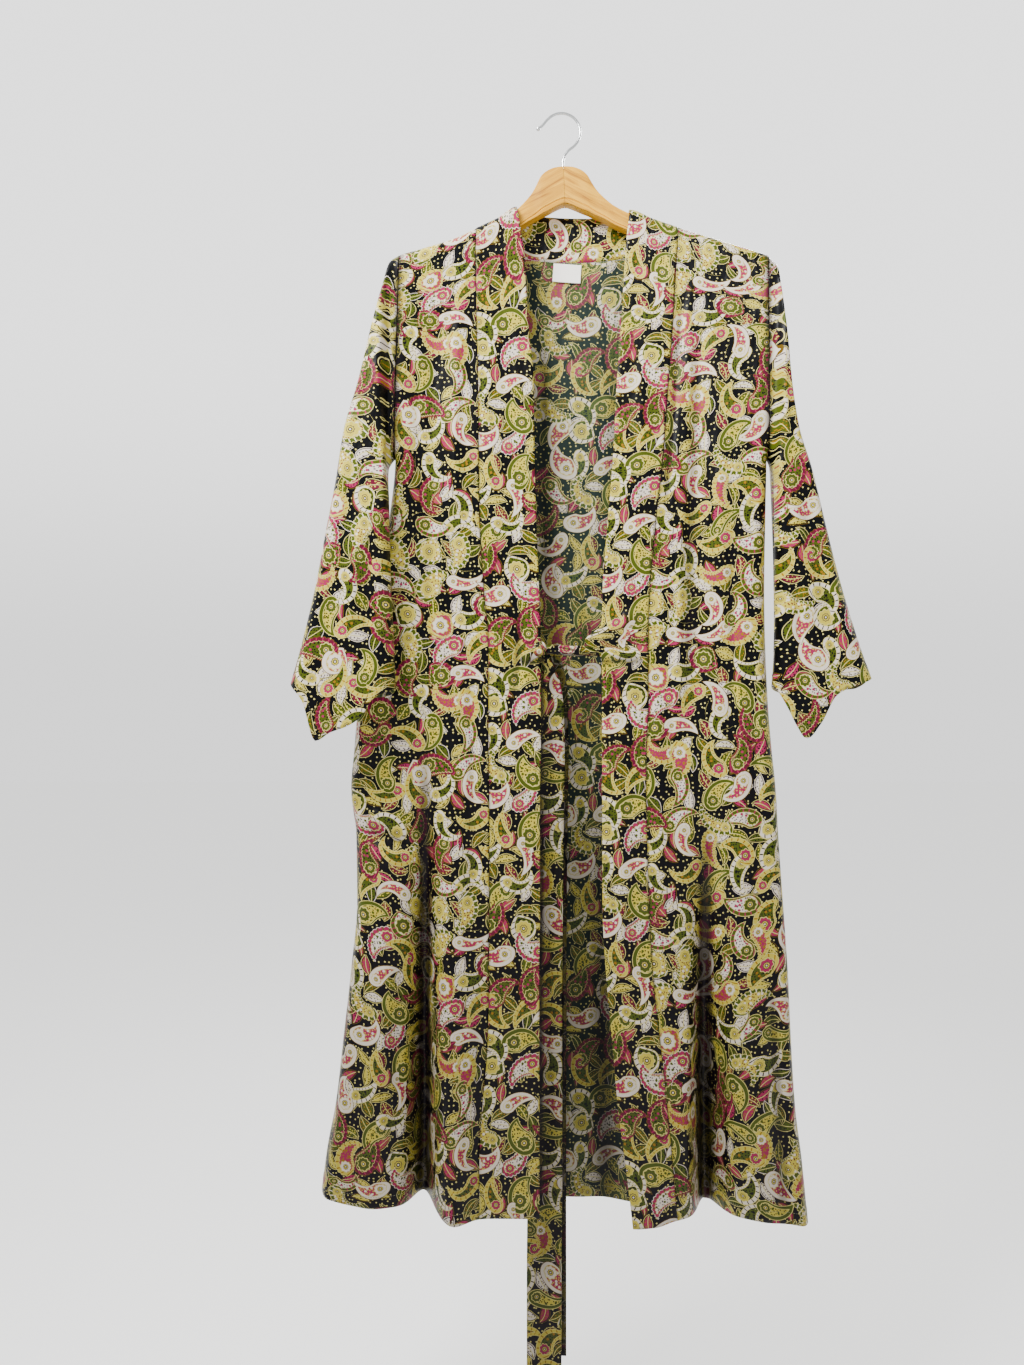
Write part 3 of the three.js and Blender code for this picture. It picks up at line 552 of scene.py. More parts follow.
def shell(name, grid, outer, inner, thickness, uv=None, outside=1, seams=0):
    """A closed thin wall on a grid of middle points. outside is the normals' side that faces out."""
    rows, columns = grid.shape[:2]
    normals = grid_normals(grid) * outside
    thickness = np.broadcast_to(np.asarray(thickness, float), (rows, columns))[..., None]
    uv = flat_uv(grid) if uv is None else uv
    points = np.concatenate([
        (grid + normals * thickness / 2).reshape(-1, 3),
        (grid - normals * thickness / 2).reshape(-1, 3),
    ])
    uvs = np.concatenate([uv.reshape(-1, 2)] * 2)
    size = rows * columns
    at = lambda i, j: i * columns + j
    faces = []
    for i in range(rows - 1):
        for j in range(columns - 1):
            quad = (at(i, j), at(i + 1, j), at(i + 1, j + 1), at(i, j + 1))
            faces += [quad, tuple(size + k for k in reversed(quad))]
    slots = [0, 1] * (len(faces) // 2)
    rim = [(at(i, 0), at(i + 1, 0)) for i in range(rows - 1)]
    rim += [(at(i + 1, columns - 1), at(i, columns - 1)) for i in range(rows - 1)]
    rim += [(at(0, j + 1), at(0, j)) for j in range(columns - 1)]
    rim += [(at(rows - 1, j), at(rows - 1, j + 1)) for j in range(columns - 1)]
    faces += [(a, size + a, size + b, b) for a, b in rim]
    slots += [0] * len(rim)
    # painted shade in folds, towards the hem and beside edges, kept in the 'hollow' attribute for both
    # faces
    hollow = [np.maximum(painted_fold_shade(grid, side * normals), seams).ravel() for side in (1, -1)]
    return make_mesh(name, points, faces, uvs, [outer, inner], slots, np.concatenate(hollow))


# --- Materials

VECTOR = "ShaderNodeVectorMath"
RAMP = "ShaderNodeValToRGB"
MIX = "ShaderNodeMixRGB"
SPLIT = "ShaderNodeSeparateXYZ"
JOIN = "ShaderNodeCombineXYZ"


def srgb(text):
    """A hex colour as the linear RGBA that a shader reads."""
    values = [int(text[i:i + 2], 16) / 255 for i in (1, 3, 5)]
    return [v / 12.92 if v <= 0.04045 else ((v + 0.055) / 1.055) ** 2.4 for v in values] + [1]


def add(tree, kind, *inputs, at=None, stops=None, **settings):
    """Adds a node with its settings, its inputs (values or other nodes) and a ramp's stops.
    A Math node is named by its operation."""
    if not kind.startswith("ShaderNode"):
        settings["operation"], kind = kind, "ShaderNodeMath"
    node = tree.nodes.new(kind)
    for name, value in settings.items():
        setattr(node, name, value)
    for socket, value in {**dict(enumerate(inputs)), **(at or {})}.items():
        if isinstance(value, bpy.types.Node):
            value = value.outputs[0]
        if isinstance(value, bpy.types.NodeSocket):
            tree.links.new(value, node.inputs[socket])
        elif value is not None:
            node.inputs[socket].default_value = value
    if stops:
        ramp = node.color_ramp
        ramp.interpolation = "CONSTANT"
        while len(ramp.elements) < len(stops):
            ramp.elements.new(0.5)
        for element, (place, colour) in zip(ramp.elements, stops):
            element.position = place
            element.color = srgb(colour) if isinstance(colour, str) else [*colour, 1]
    return node


def shares(values):
    """Ramp stops that give each value an equal share."""
    return [(i / len(values), value) for i, value in enumerate(values)]


def drop(radius, length, curl):
    """A motif's half width, tail length and radius of curl, in millimetres, as a ramp colour."""
    return (radius / 50, length / 100, curl / 200)


def motif_layer(tree, place, pitch, repeat, seed, forms, jitter, leaf, scallop):
    """Curled motifs scattered on a repeat, each over the one before.
    Gives (x, y, depth inside) and (radius, length, hue)."""
    q = add(tree, VECTOR, place, (1 / pitch,) * 3, operation="MULTIPLY")
    base = add(tree, VECTOR, q, (0.5, 0.5, 0), operation="SUBTRACT")
    base = add(tree, VECTOR, base, operation="FLOOR")
    shape = look = None
    for i, j in ((0, 0), (1, 1), (1, 0), (0, 1)):
        cell = add(tree, VECTOR, base, (i, j, seed), operation="ADD")
        own = add(tree, VECTOR, cell, (repeat, repeat, 1000), (0, 0, 0), operation="WRAP")
        other = add(tree, VECTOR, own, (17, 31, 7), operation="ADD")
        dice = add(tree, "ShaderNodeTexWhiteNoise", own, noise_dimensions="3D").outputs[1]
        luck = add(tree, "ShaderNodeTexWhiteNoise", other, noise_dimensions="3D").outputs[1]
        luck = add(tree, SPLIT, luck)
        low = 0.5 - jitter / 2
        strays = (jitter, jitter, 0), (low, low, -seed)
        shift = add(tree, VECTOR, dice, *strays, operation="MULTIPLY_ADD")
        centre = add(tree, VECTOR, cell, shift, operation="ADD")
        local = add(tree, VECTOR, q, centre, operation="SUBTRACT")
        local = add(tree, VECTOR, local, (pitch,) * 3, operation="MULTIPLY")
        turn = add(tree, "MULTIPLY", add(tree, SPLIT, dice).outputs[2], 2 * math.pi)
        turned = add(tree, "ShaderNodeVectorRotate", at={0: local, 3: turn}, rotation_type="Z_AXIS")
        turned = add(tree, SPLIT, turned)
        form = add(tree, SPLIT, add(tree, RAMP, luck, stops=shares([drop(*f) for f in forms])))
        radius = add(tree, "MULTIPLY", form, 50)
        length = add(tree, "MULTIPLY", form.outputs[1], 100)
        bend = add(tree, "MULTIPLY", form.outputs[2], 200)
        # half of them curl the other way
        side = add(tree, "SIGN", add(tree, "SUBTRACT", luck.outputs[2], 0.5))
        inward = add(tree, "SUBTRACT", add(tree, "MULTIPLY", turned, side), bend)
        spoke = add(tree, JOIN, inward, turned.outputs[1], 0)
        spoke = add(tree, VECTOR, spoke, operation="LENGTH").outputs[1]
        x = add(tree, "SUBTRACT", bend, spoke)
        sweep = add(tree, "ARCTAN2", turned.outputs[1], add(tree, "MULTIPLY", inward, -1))
        y = add(tree, "MULTIPLY", sweep, bend)
        if leaf:
            # pointed at both ends
            tail = add(tree, "MULTIPLY", add(tree, "ABSOLUTE", y), 2)
            reach = add(tree, "ABSOLUTE", x)
            fullness = 1.9
        else:
            y = add(tree, "MULTIPLY_ADD", length, 0.36, y)
            tail = add(tree, "MAXIMUM", y, 0)
            head = add(tree, "MINIMUM", y, 0)
            reach = add(tree, VECTOR, add(tree, JOIN, x, head, 0), operation="LENGTH").outputs[1]
            fullness = 2.0
        part = add(tree, "DIVIDE", tail, length)
        part = add(tree, "SUBTRACT", 1, add(tree, "POWER", part, fullness))
        depth = add(tree, "MULTIPLY", part, radius)
        depth = add(tree, "SUBTRACT", depth, reach)
        if scallop:
            wave = add(tree, "ABSOLUTE", add(tree, "SINE", add(tree, "MULTIPLY", y, 0.85)))
            some = add(tree, "GREATER_THAN", luck.outputs[1], 0.55)
            depth = add(tree, "MULTIPLY_ADD", wave, add(tree, "MULTIPLY", some, scallop), depth)
        this_shape = add(tree, JOIN, x, y, depth)
        this_look = add(tree, JOIN, radius, length, luck.outputs[1])
        if shape is None:
            shape, look = this_shape, this_look
        else:
            inside = add(tree, "GREATER_THAN", depth, 0)
            shape = add(tree, MIX, inside, shape, this_shape)
            look = add(tree, MIX, inside, look, this_look)
    return add(tree, SPLIT, shape), add(tree, SPLIT, look)


def dots(tree, place, pitch, randomness, size):
    """Round dots on a loose grid, as a mask."""
    grid = {"Vector": place, "Scale": 1 / pitch, "Randomness": randomness}
    cells = add(tree, "ShaderNodeTexVoronoi", at=grid, voronoi_dimensions="2D")
    return add(tree, "LESS_THAN", cells.outputs["Distance"], size / pitch)


def build_print(tree, place):
    """Colour of the print at a place on the flat cloth, in millimetres."""
    colour = add(tree, MIX, dots(tree, place, *GROUND_DOTS), srgb(GROUND), srgb(CREAM))
    speck = dots(tree, place, *SPECK_DOTS)
    fleck = dots(tree, place, *FLECK_DOTS)
    for layer, (*cut, leaf, scallop) in enumerate(LAYERS):
        shape, look = motif_layer(tree, place, *cut, leaf, scallop)
        x, y, depth = shape.outputs
        radius, _, hue = look.outputs
        speckle = add(tree, RAMP, hue, stops=shares(SPECKS[layer]))
        fill = add(tree, MIX, speck, add(tree, RAMP, hue, stops=shares(FILLS[layer])), speckle)
        if leaf:
            # a vein along the middle, and a dark line within the edge
            vein = add(tree, "LESS_THAN", add(tree, "ABSOLUTE", x), VEIN)
            fill = add(tree, MIX, vein, fill, srgb(CREAM))
            fill = add(tree, MIX, add(tree, "LESS_THAN", depth, LEAF_LINE), fill, srgb(DARK))
        else:
            flecks = add(tree, RAMP, hue, stops=shares(FLECKS))
            fill = add(tree, MIX, fleck, fill, flecks)
            # a beaded band runs round inside the edge, wider on the outside of the curl
            within = add(tree, "SUBTRACT", depth, add(tree, "MULTIPLY_ADD", x, -0.16, 3.6))
            beads = add(tree, "SINE", add(tree, "MULTIPLY", y, 1.25))
            band = add(tree, MIX, add(tree, "GREATER_THAN", beads, 0.82),
                       add(tree, RAMP, hue, stops=shares(BANDS)), flecks)
            fill = add(tree, MIX, add(tree, "LESS_THAN", within, BAND_LINE), fill, srgb(CREAM))
            fill = add(tree, MIX, add(tree, "LESS_THAN", within, 0), fill, band)
            # rosette in the head
            rho = add(tree, VECTOR, add(tree, JOIN, x, y, 0), operation="LENGTH").outputs[1]
            angle = add(tree, "MULTIPLY", add(tree, "ARCTAN2", y, x), 9)
            lobes = add(tree, "MULTIPLY_ADD", add(tree, "COSINE", angle), 0.08, 1)
            size = add(tree, "MULTIPLY", add(tree, "MULTIPLY", radius, ROSETTE_SIZE), lobes)
            ring = add(tree, "DIVIDE", rho, size)
            petals = add(tree, "ABSOLUTE", add(tree, "SUBTRACT", ring, 0.68))
            rings = add(tree, RAMP, ring, stops=ROSETTE)
            petal = add(tree, RAMP, hue, stops=shares(PETALS))
            rosette = add(tree, MIX, add(tree, "LESS_THAN", petals, 0.2), rings, petal)
            fill = add(tree, MIX, add(tree, "LESS_THAN", ring, 1), fill, rosette)
        line = add(tree, RAMP, hue, stops=shares(OUTLINES))
        fill = add(tree, MIX, add(tree, "LESS_THAN", depth, OUTLINE), fill, line)
        colour = add(tree, MIX, add(tree, "GREATER_THAN", depth, 0), colour, fill)
    return colour


def new_material(name, colour="#FFFFFF", roughness=0.5, **constants):
    """A material with one Principled shader, whose constants are set on its sockets."""
    material = bpy.data.materials.new(name)
    material.use_nodes = True
    tree = material.node_tree
    shader = tree.nodes["Principled BSDF"]
    shader.inputs["Base Color"].default_value = srgb(colour)
    shader.inputs["Roughness"].default_value = roughness
    for socket, value in constants.items():
        shader.inputs[socket.replace("_", " ")].default_value = value
    return material, tree, shader


PALE, WHITE, PINK, OLIVE, GOLD = "#B5A63C", "#CEC2B2", "#8E2248", "#404A0B", "#86600F"
CREAM, DARK, GREY, OCHRE, ROSE, GROUND = "#BDB26A", "#0A040A", "#463A40", "#5A4408", "#5A1028", "#020305"
# Pitch, looseness and radius of the dots
GROUND_DOTS, SPECK_DOTS, FLECK_DOTS = (6.4, 0.7, 0.95), (3.2, 0.75, 0.8), (6.8, 0.8, 1.5)
# Widths of the line round a motif, the line within a leaf, half its vein, and the line in a beaded band
OUTLINE, LEAF_LINE, VEIN, BAND_LINE = 0.7, 1.6, 0.4, 0.6
ROSETTE_SIZE = 0.62
# How dark the painted shade in folds, at seams, under the belt and towards the hem can make the print
PAINTED_SHADE_DARKNESS = 0.93
NONE = (0.1, 20, 30)  # too slim to show, so the ground stays bare
LEAVES = [(6, 28, 60), (5.5, 27, 22), (7.5, 24, 90), (6, 25, 30), (5, 30, 18), (6.5, 27, 40), NONE,
          (5.5, 29, 26), (6.5, 26, 20)]
DROPS = [(11, 38, 22), (9, 42, 16), (12.5, 34, 30), (8.5, 43, 15), (9, 36, 26), (10.5, 40, 19),
         (8, 43, 26), (15, 18, 60), (11.5, 37, 18), (9.5, 41, 24), (13.5, 33, 22), (8.5, 42, 17)]
# pitch, cells in a repeat, seed, forms, how far they stray, leaf or drop, scallop
LAYERS = [(20.52, 20, 3, LEAVES, 0.5, True, 0.0), (34.2, 12, 11, DROPS, 0.42, False, 1.3)]
FILLS = [
    [OLIVE, PALE, PINK, OLIVE, WHITE, OLIVE, PINK, ROSE],
    [OLIVE, WHITE, PINK, PALE, OLIVE, WHITE, PINK, OLIVE, PALE],
]
BANDS = [PALE, OLIVE, WHITE, OLIVE, WHITE, PINK, PALE, ROSE, OLIVE]
SPECKS = [
    [GOLD, DARK, DARK, PALE, GREY, DARK, GOLD, PALE],
    [DARK, GREY, PALE, DARK, DARK, GREY, GOLD, DARK, ROSE],
]
FLECKS = [GOLD, PINK, WHITE, OLIVE, GROUND, OLIVE, GOLD, PINK, WHITE]
PETALS = [PINK, OLIVE, WHITE, OLIVE, PALE, PINK, WHITE, OLIVE, PALE]
OUTLINES = [CREAM, CREAM, OCHRE, CREAM, CREAM, WHITE, CREAM, OCHRE, CREAM]
ROSETTE = [(0, WHITE), (0.12, DARK), (0.24, PALE), (0.38, GREY), (0.46, DARK), (0.54, CREAM)]


def satin(name, veil_share, veil, roughness, **constants):
    """Printed polyester satin: long floats give its sheen, and the print lies in the threads."""
    material, tree, shader = new_material(name, roughness=roughness, **constants)
    cloth = add(tree, "ShaderNodeUVMap", uv_map="cloth")
    place = add(tree, VECTOR, cloth, (1000, 1000, 1000), operation="MULTIPLY")
    colour = add(tree, MIX, veil_share, build_print(tree, place), srgb(veil))
    # painted shade: the print is drawn darker in folds, at seams, under the belt and towards the hem
    hollow = add(tree, "ShaderNodeAttribute", attribute_name="hollow").outputs["Fac"]
    painted_shade = add(tree, "MULTIPLY", hollow, PAINTED_SHADE_DARKNESS)
    colour = add(tree, MIX, painted_shade, colour, srgb(DARK))
    tree.links.new(colour.outputs[0], shader.inputs["Base Color"])
    # small ripples of light cloth, longer down the grain than across
    grain = add(tree, VECTOR, place, (1, 0.35, 1), operation="MULTIPLY")
    waves = {"Vector": grain, "Scale": 0.05, "Detail": 3, "Roughness": 0.5}
    ripple = add(tree, "ShaderNodeTexNoise", at=waves, noise_dimensions="2D")
    bump = add(tree, "ShaderNodeBump", at={"Height": ripple, "Distance": 0.004, "Strength": 0.6})
    tree.links.new(bump.outputs[0], shader.inputs["Normal"])
    return material


SATIN = satin("printed_satin", 0.0, "#FFFFFF", 0.38, Specular_IOR_Level=0.1, Anisotropic=0.4)
# the belt's print is mixed towards near black, and its far end, in the shade of the near one, gets a
# darker copy as painted shade
BELT_SATIN = satin("belt_satin", 0.3, "#0C0808", 0.5, Specular_IOR_Level=0.1)
BELT_UNDER = satin("belt_satin_shaded", 0.85, "#060405", 0.6, Specular_IOR_Level=0.1)
REVERSE = satin("satin_reverse", 0.3, "#34463E", 0.62, Specular_IOR_Level=0.1)


def label_weave():
    """Woven polyester label: close ribs across give it a matt white face."""
    material, tree, shader = new_material("label_weave", "#F3EFE6", 0.7, Specular_IOR_Level=0.3)
    cloth = add(tree, "ShaderNodeUVMap", uv_map="cloth")
    # the ribs are drawn at 0.6 mm, coarser than real, so that a close view shows them
    ribs = add(tree, "ShaderNodeTexWave", at={"Vector": cloth, "Scale": 530}, bands_direction="Y")
    ribs = ribs.outputs[1]
    bump = add(tree, "ShaderNodeBump", at={"Height": ribs, "Distance": 0.0002, "Strength": 0.5})
    tree.links.new(bump.outputs[0], shader.inputs["Normal"])
    return material


def beech():
    """Lacquered beech: honey brown with finer, darker fibres along each arm, under a clear coat."""
    material, tree, shader = new_material(
        "beech", roughness=0.45, Coat_Weight=0.12, Coat_Roughness=0.2, Specular_IOR_Level=0.3,
    )
    place = add(tree, "ShaderNodeTexCoord").outputs["Object"]
    # the fibres follow the arms' slope, which is the same on both sides of the joint
    split = add(tree, SPLIT, place)
    reach = add(tree, "ABSOLUTE", split)
    down = add(tree, "MULTIPLY_ADD", reach, 0.55, split.outputs[2])
    side = add(tree, "MULTIPLY_ADD", add(tree, "SIGN", split), 0.3, split.outputs[1])
    fibre = add(tree, JOIN, add(tree, "MULTIPLY", reach, 0.07), side, down)
    streaks = {"Vector": fibre, "Scale": 160, "Detail": 4, "Distortion": 0.6}
    broad = add(tree, "ShaderNodeTexNoise", at=streaks)
    fine = add(tree, "ShaderNodeTexNoise", at={"Vector": fibre, "Scale": 900, "Detail": 2})
    tone = add(tree, "MULTIPLY_ADD", fine, 0.35, add(tree, "MULTIPLY", broad, 0.75))
    grain = add(tree, RAMP, tone, stops=[(0.36, "#96600C"), (0.5, "#BE8612"), (0.66, "#D49C22")])
    grain.color_ramp.interpolation = "EASE"
    tree.links.new(grain.outputs[0], shader.inputs["Base Color"])
    bump = add(tree, "ShaderNodeBump", at={"Height": fine, "Distance": 0.0003, "Strength": 0.25})
    tree.links.new(bump.outputs[0], shader.inputs["Normal"])
    return material


def bright_wire():
    """Zinc-plated steel wire, drawn through a die, so its fine scratches run along it."""
    material, tree, shader = new_material("bright_wire", "#C4C6C6", 0.22, Metallic=1.0)
    place = add(tree, "ShaderNodeTexCoord").outputs["Object"]
    worn = add(tree, "ShaderNodeTexNoise", at={"Vector": place, "Scale": 420, "Detail": 3})
    rough = add(tree, "MULTIPLY_ADD", worn, 0.2, 0.14)
    tree.links.new(rough.outputs[0], shader.inputs["Roughness"])
    return material


def sewing_thread():
    """Spun polyester sewing thread in a dull green that sinks into the print."""
    material, tree, shader = new_material("sewing_thread", roughness=0.6, Sheen_Weight=0.2)
    place = add(tree, "ShaderNodeTexCoord").outputs["Object"]
    ply = add(tree, "ShaderNodeTexNoise", at={"Vector": place, "Scale": 1800, "Detail": 1})
    tone = add(tree, MIX, ply, srgb("#3A3C20"), srgb("#5C5A36"))
    tree.links.new(tone.outputs[0], shader.inputs["Base Color"])
    return material


LABEL_WEAVE, BEECH, STEEL, THREAD_LOOK = label_weave(), beech(), bright_wire(), sewing_thread()


# --- Body panels

def shoulder_at(x):
    return SHOULDER.at("level", x)


HEM = 15  # turned-up hem
HEM_EXTRA = 0.8  # what the turning adds to the cloth's thickness
HEM_ROW = HEM - 2  # height of the stitches over the hem's fold
# How dark the painted shade at a seam is, and how far from it it reaches
SEAM_SHADE, ARMHOLE_SHADE = (0.6, 1.8), (0.9, 4.5)
# The shade under the tied belt: level, darkness, half width and the X of both ends
UNDER_BELT = (-641, 0.85, 5, -46, 92)
STITCH, STITCH_STEP, THREAD = 2.1, 2.9, 0.24  # length, pitch and radius of a stitch
stitched = []  # (line of points, direction out of the cloth) for every row of stitches


def hem_thickness(grid, hem):
    """Cloth thickness down a panel, doubled where the hem is turned up."""
    above = grid[..., 2] - hem.at("level", grid[..., 0])
    return SHELL + HEM_EXTRA * (1 - smooth(above, HEM - 2, HEM + 2))


def sew_hem(grid):
    """Records a row of stitches above the grid's last row, on both faces."""
    line = []
    for column in grid[::-1].swapaxes(0, 1):
        climbed = lengths_along(column)
        line.append([np.interp(HEM_ROW, climbed, column[:, k]) for k in range(3)])
    out = grid_normals(grid)[-3]
    for side in (1, -1):
        stitched.append((np.array(line) + side * out * (SHELL + HEM_EXTRA) / 2, side * out))


def make_stitches(name):
    """Short thread stitches along every recorded row, each a slim four-sided bead."""
    points, faces = [], []
    for line, out in stitched:
        lengths = lengths_along(line)
        for start in np.arange(STITCH_STEP, lengths[-1] - STITCH_STEP, STITCH_STEP):
            at = lambda d, rows: np.array([np.interp(d, lengths, rows[:, k]) for k in range(3)])
            middle, normal = at(start + STITCH / 2, line), unit(at(start, out))
            along = unit(at(start + STITCH, line) - at(start, line))
            side = np.cross(along, normal)
            first = len(points)
            points += [middle - along * STITCH / 2, middle + along * STITCH / 2]
            for end in (-0.3, 0.3):
                for angle in np.arange(4) * math.pi / 2:
                    around = math.cos(angle) * normal + math.sin(angle) * side
                    points.append(middle + along * STITCH * end + around * THREAD)
            for j in range(4):
                k = (j + 1) % 4
                a, b = first + 2, first + 6
                faces += [(first, a + k, a + j), (a + j, a + k, b + k, b + j)]
                faces.append((first + 1, b + j, b + k))
    uvs = np.array(points)[:, [0, 2]]
    return make_mesh(name, points, faces, uvs, [THREAD_LOOK], [0] * len(faces))


def make_front(half):
    out = out_of(half)
    flat = panel_rows(
        shoulder_at, FRONT_HEM, -1,
        lambda lv: seam_at(half, lv) + out * SEAM / 2,
        lambda lv: side_at(half, lv) - out * SIDE_RADIUS, 56, FRONT_CREASES,
    )
    grid = np.concatenate([flat, side_columns(shoulder_at, FRONT_HEM, -1, half, FRONT_CREASES)], axis=1)
    if half == "left":
        grid = grid[:, ::-1]
    thickness = hem_thickness(grid, FRONT_HEM)
    sew_hem(grid)
    band, side = (0, -1) if half == "right" else (-1, 0)
    # painted shade beside the seam to the band, and in the armhole above the armpit
    armhole = painted_edge_shade(grid, side, *ARMHOLE_SHADE) * smooth(grid[..., 2], ARMPIT - 30, ARMPIT + 10)
    seams = np.maximum(painted_edge_shade(grid, band, *SEAM_SHADE), armhole)
    uv = flat_uv(grid, band % grid.shape[1])
    return shell(f"front_panel_{half}", grid, SATIN, REVERSE, thickness=thickness, uv=uv, seams=seams)


def make_band(half):
    out = out_of(half)
    grid = panel_rows(
        shoulder_at, FRONT_HEM, -1,
        lambda lv: seam_at(half, lv) - out * SEAM / 2,
        lambda lv: edge_at(half, lv), 24, BAND_CREASES,
    )
    if half == "right":
        grid = grid[:, ::-1]
    # painted shade beside the seam to the front, and under the tied belt
    seams = painted_edge_shade(grid, -1 if half == "right" else 0, *SEAM_SHADE)
    level, dark, width, start, end = UNDER_BELT
    below = dark * np.exp(-(((grid[..., 2] - level) / width) ** 2))
    below *= smooth(grid[..., 0], start - 8, start) * (1 - smooth(grid[..., 0], end - 8, end))
    seams = np.maximum(seams, below)
    return shell(f"band_{half}", grid, SATIN, SATIN, thickness=BAND_SHELL, seams=seams)


NECK_LEFT = float(seam_at("left", -133))
NECK_RIGHT = float(seam_at("right", -134))
NECK_SAG = 17
BAND_TOP_LEVEL = -112
BAND_TOP_SAG = 4


def neck_at(x):
    x = np.asarray(x, float)
    middle, half = (NECK_LEFT + NECK_RIGHT) / 2, (NECK_RIGHT - NECK_LEFT) / 2
    inside = half - np.abs(x - middle)
    u = (x - middle) / half
    ends = lerp(shoulder_at(NECK_LEFT), shoulder_at(NECK_RIGHT), (u + 1) / 2)
    turned = 1 - np.sqrt(1 - rounded(inside, CREST_RADIUS) ** 2)
    line = ends - CREST_RADIUS * turned - NECK_SAG * (1 - u * u)
    return np.where(inside <= 0, shoulder_at(x), line)


def neck_stations(start, end, steps=28):
    turn = TURN_IN * CREST_RADIUS
    inner = [lerp(start + CREST_RADIUS, end - CREST_RADIUS, (i + 1) / steps) for i in range(steps - 1)]
    return np.array([*(start + turn), *inner, *(end - turn[::-1])])


def neck_points(x, offset):
    slope = (neck_at(x + 0.2) - neck_at(x - 0.2)) / 0.4
    scale = offset / np.hypot(1, slope)
    moved, level = x - slope * scale, neck_at(x) + scale
    return np.stack([moved, layer_at(moved, level, 1), level], -1)


def make_back():
    left = side_columns(neck_at, BACK_HEM, 1, "left", BACK_CREASES)[:, ::-1]
    right = side_columns(neck_at, BACK_HEM, 1, "right", BACK_CREASES)
    flat_left = panel_rows(
        neck_at, BACK_HEM, 1, lambda lv: side_at("left", lv) + SIDE_RADIUS,
        lambda lv: np.full_like(lv, NECK_LEFT), 22, BACK_CREASES,
    )
    flat_right = panel_rows(
        neck_at, BACK_HEM, 1, lambda lv: np.full_like(lv, NECK_RIGHT),
        lambda lv: side_at("right", lv) - SIDE_RADIUS, 24, BACK_CREASES,
    )
    xs = neck_stations(NECK_LEFT, NECK_RIGHT)[1:-1]
    rows = []
    for level in row_levels(neck_at, BACK_HEM, xs):
        rows.append(np.stack([xs, layer_at(xs, level, 1, BACK_CREASES), level], -1))
    neck = np.array(rows)
    neck[0] = neck_points(xs, -SEAM)
    grid = np.concatenate([left, flat_left, neck, flat_right, right], axis=1)
    thickness = hem_thickness(grid, BACK_HEM)
    sew_hem(grid)
    uv = flat_uv(grid, grid.shape[1] // 2)
    return shell("back_panel", grid, SATIN, REVERSE, thickness=thickness, uv=uv, outside=-1)


def make_back_band():
    top_left = float(BODY.at("leftEdge", BAND_TOP_LEVEL))
    top_right = float(BODY.at("rightEdge", BAND_TOP_LEVEL))
    low = neck_points(neck_stations(NECK_LEFT, NECK_RIGHT), SEAM)
    x = neck_stations(top_left, top_right)
    t = (x - top_left) / (top_right - top_left)
    from_end = np.minimum(x - top_left, top_right - x)
    y = middle_at(x, BAND_TOP_LEVEL) + SEAM + CREST_RADIUS * rounded(from_end, CREST_RADIUS)
    top = np.stack([x, y, shoulder_at(x) - BAND_TOP_SAG * 4 * t * (1 - t)], -1)
    rows = []
    for share in np.linspace(1, 0, 10):
        row = lerp(low, top, share)
        ends = lerp(middle_at(low[:, 0], BAND_TOP_LEVEL), middle_at(top[:, 0], BAND_TOP_LEVEL), share)
        row[:, 1] += middle_at(row[:, 0], BAND_TOP_LEVEL) - ends
        rows.append(row)
    grid = np.array(rows)
    uv = flat_uv(grid, grid.shape[1] // 2)
    return shell("band_back", grid, SATIN, SATIN, thickness=BAND_SHELL, uv=uv, outside=-1)


SLEEVE_SECTIONS = 96
SLEEVE_HALF = 44
SLEEVE_HEM = (0.96, 0.972)  # shares of the sleeve's length where its turned hem begins


def make_sleeve(half):
    table = LEFT_SLEEVE if half == "left" else RIGHT_SLEEVE
    out = out_of(half)
    across = 0.5 - 0.5 * np.cos(np.linspace(0, math.pi, 161))
    grid = []
    for s in np.linspace(0, 1, SLEEVE_SECTIONS):
        value = lambda column: float(table.at(column, s))
        outer = np.array([value("outerX"), value("outerY"), value("outerLevel")])
        inner = np.array([value("innerX"), value("innerY"), value("innerLevel")])
        reach = float(np.linalg.norm(outer - inner))
        free = smooth(s, 0, SLEEVE_LEAVES_ARMHOLE)
        dropped = smooth(s, CUFF_STARTS, 1)
        halves = []
        for towards in (-1, 1):
            line = inner + (outer - inner) * across[:, None]
            ends = rounded(across * reach, UNDERARM_RADIUS)
            ends = ends * rounded((1 - across) * reach, SLEEVE_FOLD_RADIUS)
            hangs = line[:, 1] + towards * (value("depth") * ends + SEAM)
            level = lerp(ARMPIT, float(table.at("outerLevel", 0)), across)
            side = side_at(half, level)
            line[:, 1] = lerp(layer_at(side, level, towards), hangs, free)
            if s == 0:
                line[:, 0] = side + out * lerp(5.5, 2, across) * SEAM
            drop = CUFF.at(half + "Drop", across) if towards < 0 else CUFF_BACK_DROP * ends
            line[:, 2] -= drop * dropped
            crease = creases_at(SLEEVE_CREASES[half], line[:, 0], line[:, 2])
            line[:, 1] += towards * (crease * ends * smooth(s, 0.04, 0.2))
            lengths = lengths_along(line)
            want = np.linspace(0, lengths[-1], SLEEVE_HALF)
            halves.append(np.stack([np.interp(want, lengths, line[:, k]) for k in range(3)], -1))
        front, back = halves[0], halves[1][::-1]
        fold = (front[-1] + back[0]) / 2
        grid.append(np.concatenate([front[:-1], [fold], back[1:]]))
    grid = np.array(grid)
    share = np.linspace(0, 1, SLEEVE_SECTIONS)[:, None] * np.ones((1, grid.shape[1]))
    thickness = SHELL + HEM_EXTRA * smooth(share, *SLEEVE_HEM)
    sew_hem(grid)
    # painted shade beside the armhole seam
    return shell(
        f"sleeve_shell_{half}", grid, SATIN, REVERSE, thickness=thickness, uv=sleeve_uv(grid, table),
        outside=out, seams=painted_edge_shade(grid.swapaxes(0, 1), 0, *ARMHOLE_SHADE).T,
    )


